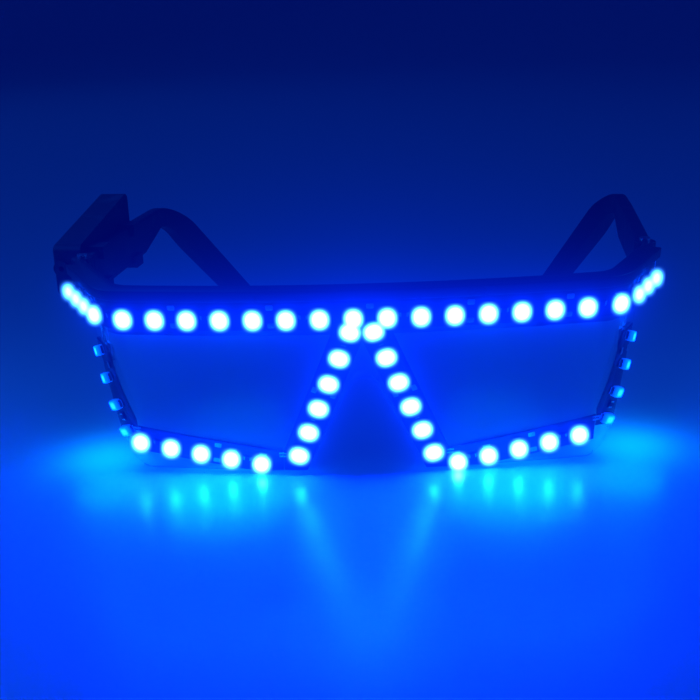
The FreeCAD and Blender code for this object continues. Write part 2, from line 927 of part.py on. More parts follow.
def make_links():
    """Tinned straps that join each strip to the next, two at each seam."""
    block = new_body("link_pattern", piece=False)
    half_long, half_wide = get("link_length") / 2, get("link_width") / 2
    outline = rectangle(-half_long, -half_wide, half_long, half_wide)
    prism(block, "block", "XY_Plane", outline, 0, get("link_height"))
    rise, spacing = (strip_half - get("link_margin")).value, get("link_spacing").value
    places = []
    for side in (LEFT, RIGHT):
        for seam in (nose_seam(), corner_seam()):
            middle = seam + get("strip_gap") / 2
            depth = bottom_line(middle, as_size(0)).value - rise
            for place in (-spacing / 2, spacing / 2):
                places.append((side * middle.value, depth + place, 0))
    copies("strip_links", block, places, get("strip_thickness").value)


def make_nose_piece():
    """Soft clear saddle behind the visor that lines the notch and rests on the nose."""
    body = new_body("nose_piece")
    low = -get("visor_drop") + get("nose_piece_inset")
    wall, inset = get("nose_piece_wall"), get("nose_piece_inset")
    shoulder = notch_shoulder()
    radius = get("notch_radius")
    half_angle = get("notch_half_angle")
    grow_in, grow_out = inset, wall - inset
    inner = -visor_thickness - get("nose_piece_depth")
    top = -get("notch_drop") + grow_out
    leaning_wall(body, "block", -visor_thickness, inner, get("overrun"), low, top)
    corners = []
    for way, grow in ((1, grow_out), (-1, -grow_in)):
        turned = radius + grow
        centre = -get("notch_drop") - radius
        high = centre + turned * sine(half_angle)
        wide = turned * cosine(half_angle)
        low_wide = wide + (high - low + get("overrun")) * tangent(half_angle)
        foot = Corner(low_wide, low - get("overrun"))
        if way > 0:
            corners += [foot, Corner(wide, high, turned), Corner(-wide, high), Corner(-low_wide, foot.up)]
        else:
            corners += [Corner(-low_wide, foot.up), Corner(-wide, high, -turned), Corner(wide, high), foot]
    keep_inside(body, "outline", "XZ_Plane", corners, reach)
    return body


# Arms, each drawn straight with its hinge axis at its own origin, then swung into place

arm_front = get("knuckle_radius") + get("knuckle_clearance")
box_front = arm_front + get("box_front_gap")
cell_start = box_front + get("box_wall") + get("cell_gap")
button_place = cell_start + get("cell_length") + get("switch_gap") + get("switch_size") / 2
socket_start = button_place + get("switch_size") / 2 + get("socket_gap")
box_rear = socket_start + get("socket_length") + get("socket_recess")
arm_straight = box_rear + get("arm_straight_margin")
arm_back = arm_straight + get("arm_taper_run")


def place_on_arm(body, side):
    across, back = hinge_place(side)
    swing = get("arm_swing_angle")
    body.Placement = FreeCAD.Placement(FreeCAD.Vector(), FreeCAD.Rotation(UP, swing.value))
    body.setExpression(".Placement.Base.x", across.text)
    body.setExpression(".Placement.Base.y", back.text)
    body.setExpression(".Placement.Rotation.Angle", swing.text)


def arm_side_outline():
    """Side view of an arm: a straight bar, a bend down and an ear hook with a round tip."""
    top, low = get("arm_top"), -get("arm_drop")
    half, tip_half = get("hook_depth") / 2, get("hook_tip_depth") / 2
    middle, bend, turn = get("arm_back_middle"), get("hook_bend_radius"), get("hook_turn_angle")
    start = arm_back
    centre = middle - bend
    cap = get("hook_cap_radius")
    sink = root(cap * cap - tip_half * tip_half)
    line_start = start + bend * sine(turn)
    line_top = centre + bend * cosine(turn)
    tip_middle = -get("visor_drop") + cap - sink * sine(turn)
    length = (line_top - tip_middle) / sine(turn)
    tip_back = line_start + length * cosine(turn)
    return [
        Corner(arm_front, low),
        Corner(arm_straight, low),
        Corner(start, middle - half, -(bend - half)),
        Corner(start + (bend - half) * sine(turn), centre + (bend - half) * cosine(turn)),
        Corner(tip_back - tip_half * sine(turn), tip_middle - tip_half * cosine(turn), cap),
        Corner(tip_back + tip_half * sine(turn), tip_middle + tip_half * cosine(turn)),
        Corner(start + (bend + half) * sine(turn), centre + (bend + half) * cosine(turn), bend + half),
        Corner(start, middle + half),
        Corner(arm_straight, top),
        Corner(arm_front, top),
    ]


def arm_plan_outline(side):
    """Arm from above: straight, then bent inwards towards the ear."""
    half = get("arm_thickness") / 2
    start = arm_back - get("hook_inward_lead")
    bend, turn = get("hook_inward_radius"), get("hook_inward_angle")
    far = arm_back * 2
    outer = bend + half
    inner = bend - half
    rest = (far - start - bend * sine(turn)) / cosine(turn)
    aside, onward = rest * sine(turn), rest * cosine(turn)
    outer_across, outer_back = outer * cosine(turn) - bend, start + outer * sine(turn)
    inner_across, inner_back = inner * cosine(turn) - bend, start + inner * sine(turn)
    corners = [
        Corner(-half, arm_front),
        Corner(half, arm_front),
        Corner(half, start, outer),
        Corner(outer_across, outer_back),
        Corner(outer_across - aside, outer_back + onward),
        Corner(inner_across - aside, inner_back + onward),
        Corner(inner_across, inner_back, -inner),
        Corner(-half, start),
    ]
    return mirrored(corners, side)


def make_arm(side, label):
    body = new_body(label)
    prism(body, "side_view", "YZ_Plane", arm_side_outline(), -arm_back, arm_back)
    keep_inside(body, "plan_view", "XY_Plane", arm_plan_outline(side), reach)
    height = get("knuckle_half_height")
    rod(body, "knuckle", "XY_Plane", 0, 0, get("knuckle_radius"), -height, height)
    half = get("neck_width") / 2
    prism(body, "neck", "XY_Plane", rectangle(-half, 0, half, arm_front + half), -height, height)
    bore = get("screw_radius") + get("screw_clearance")
    cut_rod(body, "bore", "XY_Plane", 0, 0, bore, -height - get("overrun"), height + get("overrun"))
    place_on_arm(body, side)
    return body


# Control box on the left arm. Its depths are measured outwards from the arm's middle.


def box_outline(inset=0):
    """Side view of the box: level below, higher at the rear, square at both ends."""
    inset = as_size(inset)
    front, rear = box_front + inset, box_rear - inset
    low = -get("box_drop") + inset
    return [
        Corner(front, low),
        Corner(rear, low),
        Corner(rear, get("box_rear_top") - inset),
        Corner(front, get("box_front_top") - inset),
    ]


def box_prism(body, name, corners, near, far):
    """Pad a side view on the left arm between two depths."""
    return prism(body, name, "YZ_Plane", corners, -as_size(far), -as_size(near))


def box_cut(body, name, corners, near, far):
    return cut_prism(body, name, "YZ_Plane", corners, -as_size(far), -as_size(near))


def box_rod(body, name, back, up, radius, near, far):
    return rod(body, name, "YZ_Plane", back, up, radius, -as_size(far), -as_size(near))


def box_bore(body, name, back, up, radius, near, far):
    return cut_rod(body, name, "YZ_Plane", back, up, radius, -as_size(far), -as_size(near))


box_seat = get("arm_thickness") / 2
base_floor = box_seat + get("box_floor")
box_seam = box_seat + get("box_base_depth")
box_face = box_seam + get("box_cover_depth")
cover_inside = box_face - get("box_floor")
board_face = base_floor + get("board_thickness")
board_low = get("box_wall") + get("board_margin") - get("box_drop")
chip_low = board_low + get("chip_margin")
button_rise = chip_low + get("chip_width") + get("switch_chip_gap") + get("switch_size") / 2
socket_low = get("box_wall") + get("socket_margin") - get("box_drop")
slider_rise = socket_low + get("socket_height") + get("slider_gap")
slide_switch_rear = box_rear - get("box_wall") - get("slider_plate_thickness") - get("slider_clearance") * 2
slide_switch_start = slide_switch_rear - get("slide_switch_length")
board_step = slide_switch_start - get("board_step_margin")
grommet_middle = box_seam + get("grommet_flange_radius")
POSTS = (
    ("front", box_front + get("post_front_run"), get("post_front_rise")),
    ("rear", board_step - get("post_rear_gap") - get("post_radius"), get("post_rear_rise")),
)
CLIPS = (
    ("clip_front", box_front + get("clip_front_margin")),
    ("clip_rear", box_rear - get("clip_rear_margin") - get("clip_width")),
)


def box_top_at(back):
    """Height of the box's sloping top at a distance back."""
    slope = (get("box_rear_top") - get("box_front_top")) / (box_rear - box_front)
    return get("box_front_top") + slope * (back - box_front)


def socket_outline(grow=0):
    """The charging socket seen from behind, as across and up."""
    grow = as_size(grow)
    low = socket_low - grow
    return rectangle(
        -(board_face + get("socket_thickness")) - grow,
        low,
        -board_face + grow,
        low + get("socket_height") + grow * 2,
    )


def slider_slot_outline():
    half = get("slider_width") / 2 + get("slider_clearance")
    low = slider_rise - get("slider_clearance")
    high = slider_rise + get("slider_height") + get("slider_travel") + get("slider_clearance")
    middle = -get("slider_middle")
    return rectangle(middle - half, low, middle + half, high)


def cut_rear_wall(body, name, corners):
    """Cut through the rear wall along Y. The plane's own normal points forward."""
    inner = box_rear - get("box_wall") - get("slider_clearance")
    return cut_prism(body, name, "XZ_Plane", corners, -(box_rear + get("overrun")), -inner)


def make_box_base():
    body = new_body("box_base")
    block = box_prism(body, "block", box_outline(), box_seat, box_seam)
    round_edges(body, "round", edges_along(block.Shape, ALONG_X), get("box_round"))
    box_cut(body, "hollow", box_outline(get("box_wall")), base_floor, box_seam + get("overrun"))
    for name, back, up in POSTS:
        box_rod(body, f"post_{name}", back, up, get("post_radius"), box_seat, box_seam)
    gap = get("clip_clearance")
    wall = get("clip_wall")
    for name, start in CLIPS:
        end = start + get("clip_width")
        for way, edge in ((1, get("arm_top")), (-1, get("arm_drop"))):
            near_edge, far_edge = (edge + gap) * way, (edge + gap + wall) * way
            low, high = (near_edge, far_edge) if way > 0 else (far_edge, near_edge)
            inner = -(box_seat + gap + wall)
            bridge = rectangle(start, low, end, high)
            box_prism(body, f"{name}_bridge_{'top' if way > 0 else 'low'}", bridge, inner, box_seat)
            hook_edge = near_edge - get("clip_lip") * way
            low, high = (hook_edge, far_edge) if way > 0 else (far_edge, hook_edge)
            lip = rectangle(start, low, end, high)
            box_prism(body, f"{name}_lip_{'top' if way > 0 else 'low'}", lip, inner, -(box_seat + gap))
    for name, back, up in POSTS:
        radius = get("cover_screw_radius")
        box_bore(body, f"hole_{name}", back, up, radius, base_floor, box_seam + get("overrun"))
    cut_rear_wall(body, "socket_opening", socket_outline(get("socket_clearance")))
    cut_rear_wall(body, "slider_opening", slider_slot_outline())
    place_on_arm(body, LEFT)
    return body


def make_box_cover():
    body = new_body("box_cover")
    block = box_prism(body, "block", box_outline(), box_seam, box_face)
    block = round_edges(body, "round", edges_along(block.Shape, ALONG_X), get("box_round"))
    round_edges(body, "face_round", edges_at(block.Shape, -box_face), get("cover_edge_round"))
    box_cut(body, "hollow", box_outline(get("box_wall")), box_seam - get("overrun"), cover_inside)
    for name, back, up in POSTS:
        box_rod(body, f"post_{name}", back, up, get("post_radius"), box_seam, box_face)
    for name, back, up in POSTS:
        radius = get("cover_screw_radius") + get("screw_clearance")
        end = get("overrun")
        box_bore(body, f"hole_{name}", back, up, radius, box_seam - end, box_face + end)
        sunk = box_face - get("cover_screw_head_height") - get("screw_clearance")
        radius = get("cover_screw_head_radius") + get("screw_clearance")
        box_bore(body, f"sink_{name}", back, up, radius, sunk, box_face + get("overrun"))
    radius = get("button_radius") + get("button_clearance")
    end = get("overrun")
    box_bore(body, "button_hole", button_place, button_rise, radius, cover_inside - end, box_face + end)
    cut_rear_wall(body, "socket_opening", socket_outline(get("socket_clearance")))
    cut_rear_wall(body, "slider_opening", slider_slot_outline())
    low = -(box_front + get("box_wall") + get("slider_clearance"))
    high = end - box_front
    across, up = -grommet_middle, get("grommet_rise")
    radius = get("grommet_radius") + get("grommet_clearance")
    cut_rod(body, "grommet_hole", "XZ_Plane", across, up, radius, low, high)
    place_on_arm(body, LEFT)
    return body


def make_cover_screws():
    body_pieces = []
    for name, back, up in POSTS:
        body = new_body(f"cover_screw_{name}", piece=False)
        sunk = box_face - get("cover_screw_head_height")
        box_rod(body, "shank", back, up, get("cover_screw_radius"), base_floor, sunk)
        box_rod(body, "head", back, up, get("cover_screw_head_radius"), sunk, box_face)
        half, long_half = get("screw_slot_width") / 2, get("cover_screw_head_radius") * 2
        slot = rectangle(back - long_half, up - half, back + long_half, up + half)
        box_cut(body, "slot", slot, box_face - get("screw_slot_depth"), box_face + get("overrun"))
        place_on_arm(body, LEFT)
        body_pieces.append(body)
    document.recompute()
    group = document.addObject("Part::Compound", "cover_screws")
    group.Label = "cover_screws"
    group.Links = body_pieces
    pieces.append(group)
    return group


def make_circuit_board():
    """The board lies on the base's floor, with a taller part at the rear for the slide switch."""
    body = new_body("circuit_board")
    margin = get("box_wall") + get("board_margin")
    front, rear = box_front + margin, box_rear - margin
    clear = get("box_wall") + get("board_headroom")
    top, step_top = get("box_front_top") - clear, box_top_at(board_step) - clear
    corners = [
        Corner(front, board_low),
        Corner(rear, board_low),
        Corner(rear, step_top),
        Corner(board_step, step_top),
        Corner(board_step, top),
        Corner(front, top),
    ]
    box_prism(body, "board", corners, base_floor, board_face)
    place_on_arm(body, LEFT)
    return body


def make_battery_cell():
    body = new_body("battery_cell")
    low = get("box_wall") + get("cell_margin") - get("box_drop")
    corners = rectangle(cell_start, low, cell_start + get("cell_length"), low + get("cell_height"))
    block = box_prism(body, "pouch", corners, board_face, board_face + get("cell_thickness"))
    round_edges(body, "round", edges_along(block.Shape, ALONG_X), get("cell_round"))
    place_on_arm(body, LEFT)
    return body


def make_controller_chip():
    body = new_body("controller_chip")
    half = get("chip_length") / 2
    corners = rectangle(button_place - half, chip_low, button_place + half, chip_low + get("chip_width"))
    box_prism(body, "package", corners, board_face, board_face + get("chip_height"))
    place_on_arm(body, LEFT)
    return body


def make_button_switch():
    body = new_body("button_switch")
    half = get("switch_size") / 2
    top = board_face + get("switch_height")
    corners = rectangle(button_place - half, button_rise - half, button_place + half, button_rise + half)
    box_prism(body, "case", corners, board_face, top)
    stem_top = top + get("switch_stem_height")
    box_rod(body, "stem", button_place, button_rise, get("switch_stem_radius"), top, stem_top)
    place_on_arm(body, LEFT)
    return body


def make_mode_button():
    """Cap that travels inwards through the cover and presses the switch."""
    body = new_body("mode_button")
    flange_top = cover_inside - get("button_lift")
    foot = board_face + get("switch_height") + get("switch_stem_height")
    foot = foot + get("button_travel") + get("button_stem_gap")
    flange_foot = flange_top - get("button_flange_height")
    proud = box_face + get("button_proud")
    box_rod(body, "cap", button_place, button_rise, get("button_radius"), foot, proud)
    box_rod(body, "flange", button_place, button_rise, get("button_flange_radius"), flange_foot, flange_top)
    place_on_arm(body, LEFT)
    return body


def make_charging_socket():
    body = new_body("charging_socket")
    rear = box_rear - get("socket_recess")
    wall = get("socket_wall")
    prism(body, "shell", "XZ_Plane", socket_outline(), -rear, get("socket_length") - rear)
    hollow_end = get("socket_hollow_depth") - rear
    cut_prism(body, "hollow", "XZ_Plane", socket_outline(-wall), -(rear + get("overrun")), hollow_end)
    place_on_arm(body, LEFT)
    return body


def make_slide_switch():
    """Case of the power switch, stood on the board in front of its slider."""
    body = new_body("slide_switch")
    half = get("slide_switch_height") / 2
    middle = slider_rise + (get("slider_height") + get("slider_travel")) / 2
    corners = rectangle(slide_switch_start, middle - half, slide_switch_rear, middle + half)
    box_prism(body, "case", corners, board_face, get("slider_middle") + get("slider_plate_width") / 2)
    place_on_arm(body, LEFT)
    return body


def make_power_slider():
    """Thumb slider: a plate behind the rear wall and a knob that stands out through its slot."""
    body = new_body("power_slider")
    middle = -get("slider_middle")
    half_wide, half_plate = get("slider_width") / 2, get("slider_plate_width") / 2
    low, high = slider_rise, slider_rise + get("slider_height")
    spare = (get("slider_plate_height") - get("slider_height")) / 2
    plate_rear = box_rear - get("box_wall") - get("slider_clearance")
    plate = rectangle(middle - half_plate, low - spare, middle + half_plate, high + spare)
    prism(body, "plate", "XZ_Plane", plate, -plate_rear, get("slider_plate_thickness") - plate_rear)
    knob = rectangle(middle - half_wide, low, middle + half_wide, high)
    prism(body, "knob", "XZ_Plane", knob, -(box_rear + get("slider_proud")), -plate_rear)
    place_on_arm(body, LEFT)
    return body


def make_lead_grommet():
    """Lined outlet in the box's front wall for the lead to the strips."""
    body = new_body("lead_grommet")
    across, up = -grommet_middle, get("grommet_rise")
    front, inner = box_front, box_front + get("box_wall")
    flange = get("grommet_flange")
    rod(body, "flange", "XZ_Plane", across, up, get("grommet_flange_radius"), -front, flange - front)
    rod(body, "neck", "XZ_Plane", across, up, get("grommet_radius"), -inner, -front)
    end = get("overrun")
    cut_rod(body, "bore", "XZ_Plane", across, up, get("grommet_bore_radius"), -(inner + end), end - front)
    place_on_arm(body, LEFT)
    return body


# Build


def check(objects):
    """Stop if any object failed, or any piece has no sound shape."""
    for item in objects:
        if "Invalid" in item.State or "Error" in item.State:
            raise RuntimeError(f"{item.Label} failed: {item.State}")
    for piece in pieces:
        if piece.Shape.isNull() or not piece.Shape.isValid():
            raise RuntimeError(f"{piece.Label} has no valid shape")


def write(folder):
    os.makedirs(folder, exist_ok=True)
    for piece in pieces:
        piece.Shape.exportStep(os.path.join(folder, f"{piece.Label}.step"))
        box = piece.Shape.BoundBox
        ends = (box.XMin, box.XMax, box.YMin, box.YMax, box.ZMin, box.ZMax)
        spans = " ".join(f"{end:.1f}" for end in ends)
        print(f"{piece.Label}: {len(piece.Shape.Solids)} solids, {piece.Shape.Volume:.1f} mm3, {spans}")


make_visor()
make_brow_bar()
make_hinge_screw(LEFT, "hinge_screw_left")
make_hinge_screw(RIGHT, "hinge_screw_right")
make_top_strip()
for side, name in ((LEFT, "left"), (RIGHT, "right")):
    make_nose_strip(side, f"nose_strip_{name}")
    make_bottom_strip(side, f"bottom_strip_{name}")
    make_side_strip(side, f"side_strip_{name}")
make_lamps()
make_links()
make_nose_piece()
make_arm(LEFT, "arm_left")
make_arm(RIGHT, "arm_right")
make_box_base()
make_box_cover()
make_cover_screws()
make_circuit_board()
make_battery_cell()
make_controller_chip()
make_button_switch()
make_mode_button()
make_charging_socket()
make_slide_switch()
make_power_slider()
make_lead_grommet()
document.recompute()
check(document.Objects)
write("parts")
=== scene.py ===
"""Light up party glasses: the looks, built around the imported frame.

Lengths are in metres and angles in radians, except where a name says otherwise.
"""

import json
import logging
import math
from dataclasses import dataclass
from enum import Enum
from typing import Any, Iterable, Optional, Protocol, Sequence, Union

import bmesh
import bpy
from mathutils import Matrix, Vector


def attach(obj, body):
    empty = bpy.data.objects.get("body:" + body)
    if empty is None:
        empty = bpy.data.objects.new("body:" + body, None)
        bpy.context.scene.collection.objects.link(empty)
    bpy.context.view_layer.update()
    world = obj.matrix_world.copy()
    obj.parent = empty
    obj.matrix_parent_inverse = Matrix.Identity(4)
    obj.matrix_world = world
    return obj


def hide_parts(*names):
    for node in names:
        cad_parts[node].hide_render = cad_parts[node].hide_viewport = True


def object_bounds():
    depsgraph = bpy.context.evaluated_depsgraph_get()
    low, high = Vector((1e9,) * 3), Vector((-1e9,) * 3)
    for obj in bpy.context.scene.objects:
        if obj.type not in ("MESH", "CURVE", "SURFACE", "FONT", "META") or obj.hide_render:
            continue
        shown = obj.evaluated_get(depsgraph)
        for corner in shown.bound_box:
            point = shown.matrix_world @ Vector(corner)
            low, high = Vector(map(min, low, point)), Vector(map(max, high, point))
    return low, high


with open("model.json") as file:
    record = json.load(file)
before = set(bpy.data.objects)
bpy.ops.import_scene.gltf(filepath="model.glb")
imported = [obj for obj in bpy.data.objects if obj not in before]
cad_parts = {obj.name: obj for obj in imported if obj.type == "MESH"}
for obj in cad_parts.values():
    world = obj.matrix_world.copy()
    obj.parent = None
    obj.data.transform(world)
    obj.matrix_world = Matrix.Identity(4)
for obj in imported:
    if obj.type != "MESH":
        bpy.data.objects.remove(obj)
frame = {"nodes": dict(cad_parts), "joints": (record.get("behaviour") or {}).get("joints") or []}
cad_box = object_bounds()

log = logging.getLogger("glasses")

MM = 0.001
WELD_REACH = 0.002 * MM
FLAT_ANGLE = math.radians(1.0)
CREASE_ANGLE = math.radians(30.0)
SMOOTH_ANGLE = math.radians(38.0)
HEAD_CENTRE = Vector((0.0, 80.0 * MM, -20.0 * MM))
RIM_COSINE = 0.6
STRIP_MAP = "strip"
GLOW_MAP = "glow"

# A Mix node's sockets share their names among kinds of data, so those for colours go by number.
MIX_SHARE = 0
MIX_FIRST = 6
MIX_SECOND = 7
MIX_RESULT = 2

Triple = tuple[float, float, float]
Colour = Triple
Pair = tuple[float, float]
Number = Union["Value", float]
Tint = Union[Colour, bpy.types.NodeSocket]

DARK: Colour = (0.0, 0.0, 0.0)
EVEN: Triple = (1.0, 1.0, 1.0)


# The frame's names


class Body(Enum):
    """The bodies of the frame that pieces ride on."""

    FRONT = "front"
    ARM_LEFT = "arm_left"
    ARM_RIGHT = "arm_right"
    BUTTON = "mode_button"
    SLIDER = "power_slider"


class Slot(Enum):
    """The record's material slots."""

    VISOR = "clear_visor"
    SADDLE = "clear_soft"
    BAR = "black_frame"
    ARM = "black_arm"
    BOX = "black_box"
    STRIP = "black_strip"
    HOUSING = "lamp_white"
    WINDOW = "lamp_glow"
    STEEL = "steel"
    SOLDER = "solder"
    BOARD = "green_board"
    POUCH = "silver_pouch"
    CHIP = "chip_black"
    SWITCH = "switch_black"
    SLIDER = "slider_black"
    RUBBER = "button_rubber"


class Row(Enum):
    """The rows of lamps."""

    TOP = "top"
    NOSE = "nose"
    BOTTOM = "bottom"
    SIDE = "side"


class Side(Enum):
    """The sides of the glasses, with the sign of X that each has."""

    LEFT = -1
    RIGHT = 1
    BOTH = 0


Materials = dict[Slot, bpy.types.Material]


# Nodes


class Value:
    """A number socket that takes part in sums: each operator adds its Math node."""

    def __init__(self, bench: "Bench", socket: bpy.types.NodeSocket) -> None:
        """Keeps the socket and the bench that its Math nodes go on."""
        self.bench = bench
        self.socket = socket

    def _math(self, operation: str, *terms: Number) -> "Value":
        """Adds one Math node that works on terms, in order, and gives its result."""
        made = self.bench.node("ShaderNodeMath", dict(enumerate(terms)), operation=operation)
        return Value(self.bench, made.outputs[0])

    def __add__(self, other: Number) -> "Value":
        """This plus other."""
        return self._math("ADD", self, other)

    def __radd__(self, other: Number) -> "Value":
        """Other plus this."""
        return self._math("ADD", other, self)

    def __sub__(self, other: Number) -> "Value":
        """This minus other."""
        return self._math("SUBTRACT", self, other)

    def __rsub__(self, other: Number) -> "Value":
        """Other minus this."""
        return self._math("SUBTRACT", other, self)

    def __mul__(self, other: Number) -> "Value":
        """This times other."""
        return self._math("MULTIPLY", self, other)

    def __rmul__(self, other: Number) -> "Value":
        """Other times this."""
        return self._math("MULTIPLY", other, self)

    def __abs__(self) -> "Value":
        """The size of this without its sign."""
        return self._math("ABSOLUTE", self)

    def larger(self, other: Number) -> "Value":
        """The larger of this and other."""
        return self._math("MAXIMUM", self, other)

    def swing(self, reach: float) -> "Value":
        """This going up from 0 to reach and down again, over and over."""
        return self._math("PINGPONG", self, reach)

    def step(self, low: float, high: float) -> "Value":
        """Smooth step of this value.

        Args:
            low: where the step starts, at 0.
            high: where it ends, at 1.

        Returns:
            A value from 0 to 1.
        """
        made = self.bench.node(
            "ShaderNodeMapRange",
            {"Value": self, "From Min": low, "From Max": high, "To Min": 0.0, "To Max": 1.0},
            interpolation_type="SMOOTHSTEP",
        )
        return Value(self.bench, made.outputs["Result"])


class NodeTree:
    """A tree of nodes, with one method that adds any node."""

    def __init__(self, tree: bpy.types.NodeTree) -> None:
        """Takes a tree and empties it."""
        self.tree = tree
        self.tree.nodes.clear()

    def node(
        self, kind: str, inputs: Optional[dict[Any, Any]] = None, **settings: Any
    ) -> bpy.types.Node:
        """Adds a node.

        Args:
            kind: the node's type.
            inputs: a value or a link for each socket that isn't left as it is, by name or number.
            settings: the node's settings, which are set first.

        Returns:
            The node.
        """
        made = self.tree.nodes.new(kind)
        for key, value in settings.items():
            setattr(made, key, value)
        for key, value in (inputs or {}).items():
            self._join(made.inputs[key], value)
        return made

    def _join(self, socket: bpy.types.NodeSocket, value: Any) -> None:
        """Links a socket to a value's socket, or sets it to a plain value.

        Args:
            socket: the socket.
            value: a value, a link or plain numbers.
        """
        if isinstance(value, Value):
            value = value.socket
        if isinstance(value, bpy.types.NodeSocket):
            self.tree.links.new(value, socket)
        elif socket.type == "RGBA":
            socket.default_value = (*value, 1.0)
        else:
            socket.default_value = value


class Bench(NodeTree):
    """The node tree of one material."""

    def __init__(self, name: str) -> None:
        """Makes an empty material.

        Args:
            name: the material's name.
        """
        self.material = bpy.data.materials.new(name)
        self.material.use_nodes = True
        super().__init__(self.material.node_tree)

    def place(self) -> bpy.types.NodeSocket:
        """Object coordinates."""
        return self.node("ShaderNodeTexCoord").outputs["Object"]

    def noise(self, size: float, detail: float = 2.0, stretch: Triple = EVEN) -> Value:
        """Noise on object coordinates.

        Args:
            size: the width of its grains.
            detail: how much finer noise it adds.
            stretch: how much longer the grains are along each axis.

        Returns:
            The noise, from 0 to 1.
        """
        scale = tuple(1.0 / share for share in stretch)
        spot = self.node(
            "ShaderNodeVectorMath", {0: self.place(), 1: scale}, operation="MULTIPLY"
        )
        made = self.node(
            "ShaderNodeTexNoise",
            {"Vector": spot.outputs[0], "Scale": 1.0 / size, "Detail": detail},
        )
        return Value(self, made.outputs[0])

    def cells(self, size: float, feature: str = "F1") -> Value:
        """Distance to the nearest of many small cells, in cell widths.

        Args:
            size: the width of the cells.
            feature: what the distance is to, such as the cell's middle or its edge.

        Returns:
            The distance.
        """
        inputs = {"Vector": self.place(), "Scale": 1.0 / size}
        made = self.node("ShaderNodeTexVoronoi", inputs, feature=feature)
        return Value(self, made.outputs["Distance"])

    def attribute(self, name: str) -> Value:
        """A number that the mesh holds at its points."""
        made = self.node("ShaderNodeAttribute", attribute_name=name)
        return Value(self, made.outputs["Fac"])

    def place_on_strip(self) -> tuple[Value, Value]:
        """Reads a point's place on its strip from the UV map.

        Returns:
            The distance along and the distance across.
        """
        seam = self.node("ShaderNodeUVMap", uv_map=STRIP_MAP)
        parts = self.node("ShaderNodeSeparateXYZ", {0: seam.outputs[0]})
        return Value(self, parts.outputs[0]), Value(self, parts.outputs[1])

    def blend(self, share: Number, first: Tint, second: Tint) -> bpy.types.NodeSocket:
        """Mixes two colours or their links, share being how much there is of the second."""
        inputs = {MIX_SHARE: share, MIX_FIRST: first, MIX_SECOND: second}
        return self.node("ShaderNodeMix", inputs, data_type="RGBA").outputs[MIX_RESULT]

    def bump(
        self, height: Value, depth: float, below: Optional[bpy.types.NodeSocket] = None
    ) -> bpy.types.NodeSocket:
        """Relief of the surface.

        Args:
            height: the relief, from 0 to 1.
            depth: how high 1 is.
            below: the normal of coarser relief under it, if there is one.

        Returns:
            The normal.
        """
        inputs = {"Height": height, "Distance": depth, "Strength": 1.0}
        if below is not None:
            inputs["Normal"] = below
        return self.node("ShaderNodeBump", inputs).outputs[0]

    def surface(self, **inputs: Any) -> bpy.types.NodeSocket:
        """A Principled shader, its inputs given by their names with _ for spaces."""
        named = {key.replace("_", " "): value for key, value in inputs.items()}
        return self.node("ShaderNodeBsdfPrincipled", named).outputs[0]

    def done(self, shader: bpy.types.NodeSocket) -> bpy.types.Material:
        """Links the shader to the output and returns the material."""
        self.node("ShaderNodeOutputMaterial", {"Surface": shader})
        return self.material


# Finishes


class Finish(Protocol):
    """Anything that builds a material."""

    def material(self) -> bpy.types.Material:
        """The material, built anew."""


@dataclass(frozen=True)
class ClearPlastic:
    """Clear moulded plastic with faint smears and a few fine scratches."""

    name: str
    tint: Colour
    index: float
    polish: float
    smear_roughness: float
    # colour of the painted glow on the rim faces, emission standing in for light carried to the edges
    rim_glow: Colour = DARK
    smear_size: float = 14 * MM
    smear_span: Pair = (0.42, 0.75)
    scratch_size: float = 0.5 * MM
    scratch_span: Pair = (0.55, 0.75)
    scratch_stretch: Triple = (30.0, 1.0, 1.0)
    scratch_depth: float = 0.0006 * MM
    shade: Colour = (0.80, 0.85, 0.90)

    def material(self) -> bpy.types.Material:
        """Builds the material, with a painted glow on its rim: emission that stands in for the lamps'
        light carried inside the plastic to its edges. Light that makes shadows passes through it.

        Returns:
            The material.
        """
        bench = Bench(self.name)
        smears = bench.noise(self.smear_size, detail=3.0).step(*self.smear_span)
        grooves = bench.noise(self.scratch_size, stretch=self.scratch_stretch)
        scratches = grooves.step(*self.scratch_span)
        solid = bench.surface(
            Base_Color=self.tint,
            Roughness=self.polish + self.smear_roughness * smears,
            IOR=self.index,
            Transmission_Weight=1.0,
            # painted glow: the faces marked in the glow map emit the rim colour, though the plastic is
            # no lamp
            Emission_Color=bench.blend(bench.attribute(GLOW_MAP), DARK, self.rim_glow),
            Emission_Strength=1.0,
            Normal=bench.bump(scratches, self.scratch_depth),
        )
        passing = bench.node("ShaderNodeBsdfTransparent", {"Color": self.shade}).outputs[0]
        rays = bench.node("ShaderNodeLightPath").outputs["Is Shadow Ray"]
        mixed = bench.node("ShaderNodeMixShader", {0: rays, 1: solid, 2: passing})
        return bench.done(mixed.outputs[0])


